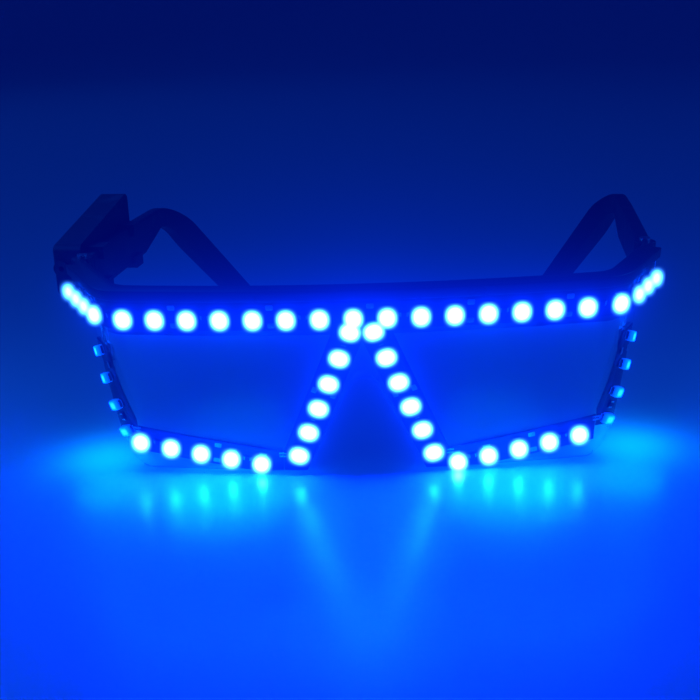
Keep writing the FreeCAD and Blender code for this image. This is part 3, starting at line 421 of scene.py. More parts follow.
@dataclass(frozen=True)
class MouldedPlastic:
    """Moulded plastic with a fine grain, rubbed smoother where it is handled."""

    name: str
    tone: Colour
    rubbed: float
    matt: float
    grain: float
    relief: float
    dust_share: float = 0.25
    dust_tone: Colour = (0.075, 0.075, 0.078)
    worn_size: float = 9 * MM
    worn_span: Pair = (0.5, 0.72)
    worn_away_share: float = 0.6
    speck_size: float = 0.35 * MM
    speck_span: Pair = (0.66, 0.8)
    speck_share: float = 0.6
    speck_roughness: float = 0.1
    film_size: float = 3 * MM
    film_span: Pair = (0.35, 0.8)

    def material(self) -> bpy.types.Material:
        """Builds the material.

        Returns:
            The material.
        """
        bench = Bench(self.name)
        grain = bench.cells(self.grain)
        worn = bench.noise(self.worn_size, detail=3.0).step(*self.worn_span)
        specks = bench.noise(self.speck_size, detail=1.0).step(*self.speck_span)
        film = bench.noise(self.film_size, detail=4.0).step(*self.film_span)
        dust = self.dust_share * (specks * self.speck_share + film * (1.0 - self.speck_share))
        smoothing = (self.matt - self.rubbed) * worn
        return bench.done(
            bench.surface(
                Base_Color=bench.blend(dust, self.tone, self.dust_tone),
                Roughness=self.matt - smoothing + self.speck_roughness * specks,
                Normal=bench.bump(grain * (1.0 - self.worn_away_share * worn), self.relief),
            )
        )


@dataclass(frozen=True)
class StripFilm:
    """Black film over copper tracks, which stand up a little through it."""

    name: str = "strip film"
    tone: Colour = (0.012, 0.012, 0.014)
    track_tone: Colour = (0.030, 0.028, 0.030)
    track_middle: float = 3.05 * MM
    track_half: float = 0.55 * MM
    step_width: float = 0.12 * MM
    feed_pitch: float = 4.17 * MM
    relief: float = 0.035 * MM
    grain: float = 0.22 * MM
    grain_relief: float = 0.0035 * MM
    roughness: float = 0.42
    track_polish: float = 0.12
    grain_roughness: float = 0.1
    gloss_share: float = 0.3
    track_gloss_share: float = 0.2

    def material(self) -> bpy.types.Material:
        """Builds the material.

        Returns:
            The material.
        """
        bench = Bench(self.name)
        along, across = bench.place_on_strip()
        off = abs(abs(across) - self.track_middle)
        rails = 1.0 - off.step(self.track_half, self.track_half + self.step_width)
        nearest_feed = along.swing(self.feed_pitch)
        feeds = 1.0 - nearest_feed.step(self.step_width, 2 * self.step_width)
        inner = 1.0 - abs(across).step(self.track_middle, self.track_middle + self.step_width)
        tracks = rails.larger(feeds * inner)
        grain = bench.noise(self.grain)
        roughness = self.roughness - self.track_polish * tracks
        return bench.done(
            bench.surface(
                Base_Color=bench.blend(tracks, self.tone, self.track_tone),
                Roughness=roughness + self.grain_roughness * grain,
                Coat_Weight=self.gloss_share + self.track_gloss_share * tracks,
                Normal=bench.bump(grain, self.grain_relief, bench.bump(tracks, self.relief)),
            )
        )


@dataclass(frozen=True)
class LampWhite:
    """White lamp body that its own light shines through, brightest at its rim."""

    name: str = "lamp white"
    tone: Colour = (0.78, 0.78, 0.75)
    low_glow: Colour = (0.0, 0.004, 0.06)
    rim_glow: Colour = (0.0, 0.06, 1.0)
    strength: float = 6.0
    grain: float = 0.06 * MM
    grain_share: float = 0.12
    relief: float = 0.004 * MM
    roughness: float = 0.45
    grain_roughness: float = 0.1

    def material(self) -> bpy.types.Material:
        """Builds the material.

        Returns:
            The material.
        """
        bench = Bench(self.name)
        grain = bench.noise(self.grain)
        glow = bench.attribute(GLOW_MAP)
        return bench.done(
            bench.surface(
                Base_Color=bench.blend(self.grain_share * grain, self.tone, self.low_glow),
                Roughness=self.roughness + self.grain_roughness * grain,
                Emission_Color=bench.blend(glow, self.low_glow, self.rim_glow),
                Emission_Strength=self.strength,
                Normal=bench.bump(grain, self.relief),
            )
        )


@dataclass(frozen=True)
class LampLight:
    """The lit resin in a lamp's cup: nearly white over the chip, cyan towards its rim."""

    name: str = "lamp light"
    tone: Colour = (0.55, 0.70, 0.90)
    rim: Colour = (0.0, 0.010, 0.85)
    core: Colour = (0.0005, 0.024, 1.0)
    strength: float = 640.0
    heart_span: Pair = (0.0, 0.40)
    cloud_size: float = 0.4 * MM
    cloud_share: float = 0.08
    roughness: float = 0.16
    cloud_roughness: float = 0.1

    def material(self) -> bpy.types.Material:
        """Builds the material.

        Returns:
            The material.
        """
        bench = Bench(self.name)
        heart = bench.attribute(GLOW_MAP).step(*self.heart_span)
        cloud = bench.noise(self.cloud_size, detail=1.0)
        clouded = heart * (1.0 - self.cloud_share + self.cloud_share * cloud)
        return bench.done(
            bench.surface(
                Base_Color=self.tone,
                Roughness=self.roughness + self.cloud_roughness * cloud,
                Emission_Color=bench.blend(clouded, self.rim, self.core),
                Emission_Strength=self.strength,
            )
        )


@dataclass(frozen=True)
class Metal:
    """Bare or plated metal with brushed or cast grain."""

    name: str
    tone: Colour
    dull_tone: Colour
    polish: float
    dull: float
    grain: float
    relief: float
    grain_roughness: float = 0.08
    grains_per_stain: float = 12.0
    stain_span: Pair = (0.45, 0.75)
    stain_share: float = 0.15

    def material(self) -> bpy.types.Material:
        """Builds the material.

        Returns:
            The material.
        """
        bench = Bench(self.name)
        grain = bench.noise(self.grain)
        stain = bench.noise(self.grains_per_stain * self.grain, detail=3.0).step(*self.stain_span)
        roughness = self.polish + (self.dull - self.polish) * stain
        return bench.done(
            bench.surface(
                Base_Color=bench.blend(stain, self.tone, self.dull_tone),
                Metallic=1.0 - self.stain_share * stain,
                Roughness=roughness + self.grain_roughness * grain,
                Normal=bench.bump(grain, self.relief),
            )
        )


@dataclass(frozen=True)
class BoardMask:
    """Green varnish over copper tracks on a circuit board."""

    name: str = "board varnish"
    tone: Colour = (0.010, 0.075, 0.028)
    track_tone: Colour = (0.022, 0.13, 0.045)
    cell: float = 1.6 * MM
    track_span: Pair = (0.10, 0.14)
    relief: float = 0.03 * MM
    grain: float = 0.3 * MM
    roughness: float = 0.28
    grain_roughness: float = 0.08

    def material(self) -> bpy.types.Material:
        """Builds the material.

        Returns:
            The material.
        """
        bench = Bench(self.name)
        edges = bench.cells(self.cell, feature="DISTANCE_TO_EDGE")
        tracks = 1.0 - edges.step(*self.track_span)
        return bench.done(
            bench.surface(
                Base_Color=bench.blend(tracks, self.tone, self.track_tone),
                Roughness=self.roughness + self.grain_roughness * bench.noise(self.grain),
                Normal=bench.bump(tracks, self.relief),
            )
        )


@dataclass(frozen=True)
class PaleFloor:
    """Plain pale table top with a soft gloss."""

    name: str = "pale floor"
    tone: Colour = (0.74, 0.75, 0.77)
    index: float = 1.8
    roughness: float = 0.38
    lacquer_share: float = 0.7
    lacquer_roughness: float = 0.27
    grain: float = 2.5 * MM
    grain_roughness: float = 0.06
    relief: float = 0.02 * MM

    def material(self) -> bpy.types.Material:
        """Builds the material.

        Returns:
            The material.
        """
        bench = Bench(self.name)
        grain = bench.noise(self.grain, detail=3.0)
        return bench.done(
            bench.surface(
                Base_Color=self.tone,
                IOR=self.index,
                Roughness=self.roughness + self.grain_roughness * grain,
                Coat_Weight=self.lacquer_share,
                Coat_Roughness=self.lacquer_roughness,
                Normal=bench.bump(grain, self.relief),
            )
        )


BLACK: Colour = (0.011, 0.011, 0.012)
FINISHES: dict[Slot, Finish] = {
    Slot.VISOR: ClearPlastic(
        "clear visor",
        tint=(0.97, 0.985, 1.0),
        index=1.585,
        polish=0.025,
        smear_roughness=0.09,
        # painted blue glow on the visor's rim faces
        rim_glow=(0.0, 0.05, 0.9),
    ),
    Slot.SADDLE: ClearPlastic(
        "clear saddle", tint=(0.90, 0.93, 0.95), index=1.42, polish=0.28, smear_roughness=0.10
    ),
    Slot.BAR: MouldedPlastic(
        "bar plastic", BLACK, rubbed=0.24, matt=0.36, grain=0.16 * MM, relief=0.004 * MM
    ),
    Slot.ARM: MouldedPlastic(
        "arm plastic", BLACK, rubbed=0.30, matt=0.47, grain=0.20 * MM, relief=0.010 * MM
    ),
    Slot.BOX: MouldedPlastic(
        "box plastic", BLACK, rubbed=0.34, matt=0.52, grain=0.26 * MM, relief=0.016 * MM
    ),
    Slot.STRIP: StripFilm(),
    Slot.HOUSING: LampWhite(),
    Slot.WINDOW: LampLight(),
    Slot.STEEL: Metal(
        "plated steel",
        tone=(0.62, 0.62, 0.64),
        dull_tone=(0.40, 0.39, 0.38),
        polish=0.20,
        dull=0.38,
        grain=0.08 * MM,
        relief=0.002 * MM,
    ),
    Slot.SOLDER: Metal(
        "tinned solder",
        tone=(0.70, 0.70, 0.72),
        dull_tone=(0.45, 0.45, 0.47),
        polish=0.18,
        dull=0.45,
        grain=0.30 * MM,
        relief=0.012 * MM,
    ),
    Slot.BOARD: BoardMask(),
    Slot.POUCH: Metal(
        "foil pouch",
        tone=(0.66, 0.67, 0.69),
        dull_tone=(0.50, 0.51, 0.53),
        polish=0.26,
        dull=0.40,
        grain=0.9 * MM,
        relief=0.05 * MM,
    ),
    Slot.CHIP: MouldedPlastic(
        "chip resin",
        tone=(0.016, 0.016, 0.017),
        rubbed=0.40,
        matt=0.60,
        grain=0.05 * MM,
        relief=0.003 * MM,
    ),
    Slot.SWITCH: MouldedPlastic(
        "switch body",
        tone=(0.014, 0.014, 0.015),
        rubbed=0.36,
        matt=0.50,
        grain=0.08 * MM,
        relief=0.003 * MM,
    ),
    Slot.SLIDER: MouldedPlastic(
        "slider plastic",
        tone=(0.02, 0.02, 0.021),
        rubbed=0.28,
        matt=0.42,
        grain=0.10 * MM,
        relief=0.004 * MM,
    ),
    Slot.RUBBER: MouldedPlastic(
        "button rubber",
        tone=(0.024, 0.024, 0.026),
        rubbed=0.55,
        matt=0.78,
        grain=0.12 * MM,
        relief=0.008 * MM,
        dust_share=0.5,
    ),
}


# Places of solids, and meshes


@dataclass(frozen=True)
class Spot:
    """Where a small solid sits and which way it faces."""

    centre: Vector
    along: Vector
    across: Vector
    outward: Vector

    def turn(self) -> Triple:
        """Angles that turn X along, Y across and Z outward."""
        return tuple(Matrix((self.along, self.across, self.outward)).transposed().to_euler())

    def raised(self, height: float) -> "Spot":
        """The same spot, moved outward by a height."""
        return Spot(self.centre + height * self.outward, self.along, self.across, self.outward)


def welded(node: str) -> bmesh.types.BMesh:
    """A CAD node's solids with their points merged.

    Args:
        node: the CAD node's name.

    Returns:
        The mesh, which the caller frees.
    """
    mesh = frame["nodes"][node].data
    made = bmesh.new()
    corners = [made.verts.new(vertex.co) for vertex in mesh.vertices]
    for polygon in mesh.polygons:
        made.faces.new([corners[index] for index in polygon.vertices])
    bmesh.ops.remove_doubles(made, verts=made.verts, dist=WELD_REACH)
    return made


def whole_faced(node: str) -> bmesh.types.BMesh:
    """A CAD node's solids with their points merged and each flat face whole.

    Args:
        node: the CAD node's name.

    Returns:
        The mesh, which the caller frees.
    """
    made = welded(node)
    bmesh.ops.dissolve_limit(made, angle_limit=FLAT_ANGLE, verts=made.verts, edges=made.edges)
    return made


def islands_of(made: bmesh.types.BMesh) -> list[list[bmesh.types.BMVert]]:
    """Sorts the points of a mesh by the solid that they belong to, in the mesh's own order.

    Args:
        made: the mesh.

    Returns:
        A list of points for each solid.
    """
    seen: set[bmesh.types.BMVert] = set()
    islands = []
    for vertex in made.verts:
        if vertex in seen:
            continue
        seen.add(vertex)
        island = [vertex]
        for reached in island:
            for edge in reached.link_edges:
                other = edge.other_vert(reached)
                if other not in seen:
                    seen.add(other)
                    island.append(other)
        islands.append(island)
    return islands


def spots_of(node: str) -> list[Spot]:
    """Finds where the square-cornered solids of a CAD node sit.

    Args:
        node: the CAD node's name.

    Returns:
        One spot for each solid, its thin way outward and its long way along.
    """
    made = whole_faced(node)
    spots = []
    for island in islands_of(made):
        corner = island[0]
        spans = [edge.other_vert(corner).co - corner.co for edge in corner.link_edges]
        spans.sort(key=lambda span: span.length)
        centre = sum((vertex.co for vertex in island), Vector()) / len(island)
        outward = spans[0].normalized()
        if outward.dot(centre - HEAD_CENTRE) < 0:
            outward.negate()
        along = spans[-1].normalized()
        if along.x < 0:
            along.negate()
        spots.append(Spot(centre, along, outward.cross(along), outward))
    made.free()
    return spots


def shown(
    name: str, mesh: bpy.types.Mesh, material: Optional[bpy.types.Material] = None
) -> bpy.types.Object:
    """Puts a mesh in the scene as an object at the origin.

    Args:
        name: the object's name.
        mesh: the mesh.
        material: its finish, if it has one yet.

    Returns:
        The object.
    """
    piece = bpy.data.objects.new(name, mesh)
    bpy.context.scene.collection.objects.link(piece)
    if material is not None:
        mesh.materials.clear()
        mesh.materials.append(material)
    return piece


def settle(piece: bpy.types.Object, body: Body, nodes: Sequence[str] = ()) -> None:
    """Makes a finished piece ride on its body and stand for its nodes.

    Args:
        piece: the piece.
        body: the body that it rides on.
        nodes: the CAD nodes that it stands for.
    """
    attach(piece, body.value)
    if nodes:
        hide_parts(*nodes)
    log.info("%s: %d faces, on %s", piece.name, len(piece.data.polygons), body.value)


def bake(piece: bpy.types.Object) -> None:
    """Turns a piece with modifiers into a plain mesh, with no modifier left.

    Args:
        piece: the piece.
    """
    bpy.context.view_layer.update()
    graph = bpy.context.evaluated_depsgraph_get()
    mesh = bpy.data.meshes.new_from_object(piece.evaluated_get(graph), depsgraph=graph)
    piece.modifiers.clear()
    piece.data = mesh


def smooth_by_angle(mesh: bpy.types.Mesh, angle: float = CREASE_ANGLE) -> None:
    """Shades a mesh smooth, with its sharp edges kept as creases.

    Args:
        mesh: the mesh.
        angle: from which an edge is a crease.
    """
    made = bmesh.new()
    made.from_mesh(mesh)
    for face in made.faces:
        face.smooth = True
    for edge in made.edges:
        edge.smooth = edge.calc_face_angle(0.0) < angle
    made.to_mesh(mesh)
    made.free()


def drop_flaps(mesh: bpy.types.Mesh) -> None:
    """Takes out the points that only two faces share, where a rounded edge can fold on itself.

    Args:
        mesh: the mesh.
    """
    made = bmesh.new()
    made.from_mesh(mesh)
    flaps = [vertex for vertex in made.verts if len(vertex.link_edges) == 2]
    bmesh.ops.dissolve_verts(made, verts=flaps)
    made.to_mesh(mesh)
    made.free()


def softened(
    node: str, name: str, material: bpy.types.Material, rounding: float, segments: int = 3
) -> bpy.types.Object:
    """A copy of a CAD node with its sharp edges rounded.

    Args:
        node: the CAD node's name.
        name: the piece's name.
        material: its finish.
        rounding: the width of the rounding.
        segments: faces across the rounding.

    Returns:
        The piece, as a plain mesh.
    """
    made = whole_faced(node)
    mesh = bpy.data.meshes.new(name)
    made.to_mesh(mesh)
    made.free()
    piece = shown(name, mesh, material)
    bevel = piece.modifiers.new("round edges", "BEVEL")
    bevel.width = rounding
    bevel.segments = segments
    bevel.limit_method = "ANGLE"
    bevel.angle_limit = CREASE_ANGLE
    bevel.use_clamp_overlap = False
    bake(piece)
    drop_flaps(piece.data)
    smooth_by_angle(piece.data, SMOOTH_ANGLE)
    return piece


def mark_rim(mesh: bpy.types.Mesh) -> None:
    """Marks the faces round a shell's edge, which get a painted glow standing in for the light that
    runs inside it and comes out there.

    Args:
        mesh: the shell's mesh.
    """
    rim = mesh.attributes.new(GLOW_MAP, "FLOAT", "FACE")
    for face, mark in zip(mesh.polygons, rim.data):
        outward = (face.center - HEAD_CENTRE).normalized()
        mark.value = float(abs(face.normal.dot(outward)) < RIM_COSINE)


def ring(
    half_x: float, half_y: float, radius: float, height: float, steps: int = 4, cut: bool = False
) -> list[Vector]:
    """Points round an oblong with round corners, anticlockwise from its first corner.

    Args:
        half_x: half its length.
        half_y: half its width.
        radius: of its corners.
        height: of the ring.
        steps: spans in each corner.
        cut: whether the first corner is cut straight instead of round.

    Returns:
        The points.
    """
    points = []
    for corner in range(4):
        way_x = 1 if corner in (0, 3) else -1
        way_y = 1 if corner in (0, 1) else -1
        middle = Vector((way_x * (half_x - radius), way_y * (half_y - radius), height))
        for step in range(steps + 1):
            angle = (corner + step / steps) * math.pi / 2
            reach = Vector((math.cos(angle), math.sin(angle), 0.0))
            if cut and corner == 0:
                share = step / steps
                reach = Vector((1 - share, share, 0.0))
            points.append(middle + radius * reach)
    return points


def lofted(
    name: str,
    rings: Sequence[Sequence[Vector]],
    glows: Optional[Sequence[float]] = None,
    closed: bool = False,
) -> bpy.types.Mesh:
    """A closed skin through rings with as many points each, capped at both ends.

    Args:
        name: the mesh's name.
        rings: the rings, in order.
        glows: a number for each ring, kept as an attribute at its points.
        closed: whether the last ring joins the first instead of both being capped.

    Returns:
        The mesh, with its faces outward.
    """
    made = bmesh.new()
    glow = made.verts.layers.float.new(GLOW_MAP)
    rows = []
    for index, points in enumerate(rings):
        row = [made.verts.new(point) for point in points]
        for vertex in row:
            vertex[glow] = glows[index] if glows else 0.0
        rows.append(row)
    followers = rows[1:] + rows[:1] if closed else rows[1:]
    for low, high in zip(rows, followers):
        for here in range(len(low)):
            after = (here + 1) % len(low)
            made.faces.new((low[here], low[after], high[after], high[here]))
    if not closed:
        made.faces.new(rows[0])
        made.faces.new(rows[-1])
    bmesh.ops.remove_doubles(made, verts=made.verts, dist=WELD_REACH)
    bmesh.ops.recalc_face_normals(made, faces=made.faces)
    mesh = bpy.data.meshes.new(name)
    made.to_mesh(mesh)
    made.free()
    smooth_by_angle(mesh)
    return mesh


def prism(name: str, profile: Sequence[Pair], half_width: float) -> bpy.types.Mesh:
    """A profile in X and Z drawn out along Y by half_width to each side, closed."""
    rings = [[Vector((x, way * half_width, z)) for x, z in profile] for way in (-1, 1)]
    return lofted(name, rings)


def joined(name: str, meshes: Iterable[bpy.types.Mesh]) -> bpy.types.Mesh:
    """Makes one mesh of several, which are used up.

    Args:
        name: the new mesh's name.
        meshes: the meshes.

    Returns:
        The new mesh.
    """
    made = bmesh.new()
    for mesh in list(meshes):
        made.from_mesh(mesh)
        bpy.data.meshes.remove(mesh)
    whole = bpy.data.meshes.new(name)
    made.to_mesh(whole)
    made.free()
    return whole


def half_turned(mesh: bpy.types.Mesh) -> bpy.types.Mesh:
    """Copies a mesh and turns the copy half round about Z.

    Args:
        mesh: the mesh.

    Returns:
        The copy.
    """
    copy = mesh.copy()
    copy.transform(Matrix.Rotation(math.pi, 4, "Z"))
    return copy


def turned(mesh: bpy.types.Mesh, right: Vector, up: Vector, middle: Vector) -> bpy.types.Mesh:
    """Turns a mesh and moves it to its place.

    Args:
        mesh: the mesh, standing at the origin.
        right: where its X goes.
        up: where its Y goes.
        middle: where its origin goes.

    Returns:
        The same mesh.
    """
    turn = Matrix((right, up, right.cross(up))).transposed().to_4x4()
    mesh.transform(Matrix.Translation(middle) @ turn)
    return mesh


# Patterns laid by Geometry Nodes


class Layout(NodeTree):
    """A Geometry Nodes tree with named inputs, which a modifier runs to make a piece."""

    def __init__(self, name: str, inputs: dict[str, str]) -> None:
        """Makes the tree's output and its inputs, a pattern and a finish among them.

        Args:
            name: the tree's name.
            inputs: the kind of socket for each other input, by name.
        """
        super().__init__(bpy.data.node_groups.new(name, "GeometryNodeTree"))
        face = self.tree.interface
        face.new_socket("Points", in_out="INPUT", socket_type="NodeSocketGeometry")
        kinds = {"Pattern": "NodeSocketObject", "Finish": "NodeSocketMaterial", **inputs}
        self.sockets = {
            label: face.new_socket(label, in_out="INPUT", socket_type=kind)
            for label, kind in kinds.items()
        }
        face.new_socket("Geometry", in_out="OUTPUT", socket_type="NodeSocketGeometry")
        self.given = self.node("NodeGroupInput")

    def spread(
        self, points: bpy.types.NodeSocket, turns: Optional[bpy.types.NodeSocket] = None
    ) -> None:
        """Sets the pattern on points, makes the copies real and dresses them.

        Args:
            points: the points' link.
            turns: a link that says how each copy is turned, if they are.
        """
        shape = self.node("GeometryNodeObjectInfo", {"Object": self.given.outputs["Pattern"]})
        placing = {"Points": points, "Instance": shape.outputs["Geometry"]}
        if turns is not None:
            placing["Rotation"] = turns
        copies = self.node("GeometryNodeInstanceOnPoints", placing).outputs["Instances"]
        real = self.node("GeometryNodeRealizeInstances", {"Geometry": copies})
        dressed = self.node(
            "GeometryNodeSetMaterial",
            {"Geometry": real.outputs["Geometry"], "Material": self.given.outputs["Finish"]},
        )
        self.node("NodeGroupOutput", {"Geometry": dressed.outputs["Geometry"]})

    def run(
        self, points: bpy.types.Mesh, pattern: bpy.types.Mesh, values: dict[str, Any]
    ) -> bpy.types.Object:
        """Runs the tree on a mesh of points.

        Args:
            points: the mesh, which gives the piece its name.
            pattern: the mesh that is repeated.
            values: the other inputs' values, by name.

        Returns:
            The piece, as a plain mesh.
        """
        piece = shown(points.name, points)
        shape = shown(points.name + "_pattern", pattern)
        layout = piece.modifiers.new("layout", "NODES")
        layout.node_group = self.tree
        for label, value in {"Pattern": shape, **values}.items():
            layout[self.sockets[label].identifier] = value
        bake(piece)
        bpy.data.objects.remove(shape)
        return piece


class SpotLayout(Layout):
    """Sets one pattern on each point, turned as the point says."""

    TURN_MAP = "turn"

    def __init__(self) -> None:
        """Builds the tree."""
        super().__init__("pattern on spots", {})
        turn = self.node(
            "GeometryNodeInputNamedAttribute", {"Name": self.TURN_MAP}, data_type="FLOAT_VECTOR"
        )
        angles = self.node("FunctionNodeEulerToRotation", {"Euler": turn.outputs["Attribute"]})
        self.spread(self.given.outputs["Points"], angles.outputs["Rotation"])

    def laid(
        self,
        name: str,
        pattern: bpy.types.Mesh,
        spots: Sequence[Spot],
        material: bpy.types.Material,
    ) -> bpy.types.Object:
        """Sets a pattern on spots.

        Args:
            name: the piece's name.
            pattern: the pattern's mesh.
            spots: where it goes and how it is turned.
            material: the piece's finish.

        Returns:
            The piece, as a plain mesh.
        """
        points = bpy.data.meshes.new(name)
        points.from_pydata([spot.centre for spot in spots], [], [])
        turns = points.attributes.new(self.TURN_MAP, "FLOAT_VECTOR", "POINT")
        for place, spot in zip(turns.data, spots):
            place.vector = spot.turn()
        return self.run(points, pattern, {"Finish": material})


class LineLayout(Layout):
    """Repeats one pattern in a straight line."""

    def __init__(self) -> None:
        """Builds the tree."""
        super().__init__(
            "pattern in a line",
            {"Count": "NodeSocketInt", "Start": "NodeSocketVector", "Step": "NodeSocketVector"},
        )
        line = self.node(
            "GeometryNodeMeshLine",
            {
                "Count": self.given.outputs["Count"],
                "Start Location": self.given.outputs["Start"],
                "Offset": self.given.outputs["Step"],
            },
        )
        self.spread(line.outputs["Mesh"])

    def laid(
        self,
        name: str,
        pattern: bpy.types.Mesh,
        count: int,
        middle: Vector,
        step: Vector,
        material: bpy.types.Material,
    ) -> bpy.types.Object:
        """Repeats a pattern in a line.

        Args:
            name: the piece's name.
            pattern: the pattern's mesh, turned as it is to stand.
            count: how many there are.
            middle: the middle of the line.
            step: from each to the next.
            material: the piece's finish.

        Returns:
            The piece, as a plain mesh.
        """
        start = middle - step * ((count - 1) / 2)
        values = {"Count": count, "Start": tuple(start), "Step": tuple(step), "Finish": material}
        return self.run(bpy.data.meshes.new(name), pattern, values)


# The glasses' pieces


@dataclass
class Lamps:
    """All lamps: bodies with cups, lit resin, soldered feet, and what lies between them."""

    layout: SpotLayout
    finish: Materials
    length: float = 3.5 * MM
    width: float = 2.8 * MM
    height: float = 1.9 * MM
    window_length: float = 2.8 * MM
    window_width: float = 2.1 * MM
    window_depth: float = 0.9 * MM
    cup_floor_share: float = 0.72
    corner: float = 0.30 * MM
    cup_corner: float = 0.75 * MM
    edge: float = 0.09 * MM
    draft: float = 0.06 * MM
    body_glow_shares: tuple[float, ...] = (0.0, 0.0, 0.12, 0.55, 0.85, 1.0, 1.0, 1.0)
    resin_gap: float = 0.015 * MM
    crown: float = 0.10 * MM
    crown_steps: int = 7
    side_strength: float = 36.0

    @property
    def drop(self) -> float:
        """Height of a lamp's foot over its window's middle, which is less than nothing."""
        return self.window_depth / 2 - self.height

    def _body(self) -> bpy.types.Mesh:
        """A lamp body, its foot at zero height, with a cup in its top and one corner cut.

        Returns:
            The body's mesh.
        """
        x, y = self.length / 2, self.width / 2
        top, low = self.height, self.height - self.window_depth
        slim_x, slim_y = x - self.draft, y - self.draft
        cup_x, cup_y = self.window_length / 2, self.window_width / 2
        share, edge = self.cup_floor_share, self.edge
        rings = [
            ring(x - edge, y - edge, self.corner, 0.0),
            ring(x, y, self.corner, edge),
            ring(x, y, self.corner, top / 2),
            ring(slim_x, slim_y, 2 * self.corner, top - edge, cut=True),
            ring(slim_x - edge, slim_y - edge, 2 * self.corner, top, cut=True),
            ring(cup_x + edge / 2, cup_y + edge / 2, self.cup_corner, top),
            ring(cup_x, cup_y, self.cup_corner, top - edge),
            ring(share * cup_x, share * cup_y, share * self.cup_corner, low),
        ]
        return lofted("lamp_body", rings, self.body_glow_shares)

    def _resin(self) -> bpy.types.Mesh:
        """The resin that fills the cup, crowned a little, with its glow highest in the middle.

        Returns:
            The resin's mesh.
        """
        x, y = self.window_length / 2 - self.resin_gap, self.window_width / 2 - self.resin_gap
        brim, low = self.height - self.edge, self.height - self.window_depth
        share = self.cup_floor_share
        rings = [
            ring(share * x, share * y, share * self.cup_corner, low + self.resin_gap),
            ring(x, y, self.cup_corner, brim),
        ]
        glows = [0.0, 0.0]
        for step in range(1, self.crown_steps):
            inner = 1.0 - step / self.crown_steps
            rise = self.crown * (1.0 - inner * inner)
            rings.append(ring(inner * x, inner * y, inner * self.cup_corner, brim + rise))
            glows.append(1.0 - inner)
        return lofted("lamp_resin", rings, glows)

    def build(self) -> None:
        """Builds the lamps of every row with their feet, the resistors and the bare pads."""
        side_light = LampLight("side lamp light", strength=self.side_strength).material()
        feet = []
        for row in Row:
            bases = [spot.raised(self.drop) for spot in spots_of(f"{row.value}_lamp_windows")]
            feet.extend(bases)
            light = side_light if row is Row.SIDE else self.finish[Slot.WINDOW]
            for word, node_word, mesh, slot, material in (
                ("bodies", "housings", self._body(), Slot.HOUSING, self.finish[Slot.HOUSING]),
                ("lights", "windows", self._resin(), Slot.WINDOW, light),
            ):
                piece = self.layout.laid(f"{row.value}_lamp_{word}", mesh, bases, material)
                settle(piece, Body.FRONT, [f"{row.value}_lamp_{node_word}"])
        solder = self.finish[Slot.SOLDER]
        pairs = self.layout.laid("lamp_feet", LampFoot().pair(self.length / 2), feet, solder)
        settle(pairs, Body.FRONT)
        resistors = Resistors(self.layout, self.finish)
        resistors.build()
        taken = feet + resistors.seats()
        pads = CutPads(drop=self.drop)
        spread = self.layout.laid("cut_pads", pads.pair(), pads.spots(taken), solder)
        settle(spread, Body.FRONT)


@dataclass(frozen=True)
class LampFoot:
    """A lamp's soldered foot. Its outline gives reach past the lamp's end, and height."""

    half_width: float = 1.05 * MM
    outline: tuple[Pair, ...] = (
        (-0.05 * MM, 0.0),
        (0.70 * MM, 0.0),
        (0.68 * MM, 0.05 * MM),
        (0.42 * MM, 0.12 * MM),
        (0.22 * MM, 0.34 * MM),
        (0.13 * MM, 0.62 * MM),
        (0.06 * MM, 0.72 * MM),
        (-0.05 * MM, 0.72 * MM),
    )

    def pair(self, end: float) -> bpy.types.Mesh:
        """Both feet of a lamp.

        Args:
            end: from the lamp's middle to its end.

        Returns:
            The feet's mesh.
        """
        outline = [(end + reach, height) for reach, height in self.outline]
        foot = prism("foot", outline, self.half_width)
        return joined("foot_pair", [half_turned(foot), foot])


@dataclass
class Resistors:
    """The resistors: dark bodies with tinned ends. The outline of an end gives X and height."""

    layout: SpotLayout
    finish: Materials
    height: float = 0.5 * MM
    body_half_length: float = 0.66 * MM
    body_half_width: float = 0.60 * MM
    body_corner: float = 0.03 * MM
    body_foot: float = 0.02 * MM
    body_top: float = 0.48 * MM
    body_edge: float = 0.04 * MM
    end_half_width: float = 0.625 * MM
    end_outline: tuple[Pair, ...] = (
        (0.62 * MM, 0.0),
        (1.35 * MM, 0.0),
        (1.30 * MM, 0.05 * MM),
        (1.08 * MM, 0.20 * MM),
        (1.00 * MM, 0.46 * MM),
        (0.96 * MM, 0.50 * MM),
        (0.62 * MM, 0.50 * MM),
    )

    def seats(self) -> list[Spot]:
        """Where the resistors stand on their strips."""
        return [spot.raised(-self.height / 2) for spot in spots_of("resistors")]

    def _body(self) -> bpy.types.Mesh:
        """The middle of a resistor.

        Returns:
            The body's mesh.
        """
        x, y, edge = self.body_half_length, self.body_half_width, self.body_edge
        rings = [
            ring(x, y, self.body_corner, self.body_foot, steps=1),
            ring(x, y, self.body_corner, self.body_top - edge, steps=1),
            ring(x - edge, y - edge, self.body_corner, self.body_top, steps=1),
        ]
        return lofted("resistor_body", rings)

    def _ends(self) -> bpy.types.Mesh:
        """Both ends of a resistor, each with its fillet of solder."""
        end = prism("end", self.end_outline, self.end_half_width)
        return joined("end_pair", [half_turned(end), end])

    def build(self) -> None:
        """Builds the resistors."""
        for name, mesh, slot, nodes in (
            ("resistor_bodies", self._body(), Slot.CHIP, ["resistors"]),
            ("resistor_ends", self._ends(), Slot.SOLDER, []),
        ):
            piece = self.layout.laid(name, mesh, self.seats(), self.finish[slot])
            settle(piece, Body.FRONT, nodes)


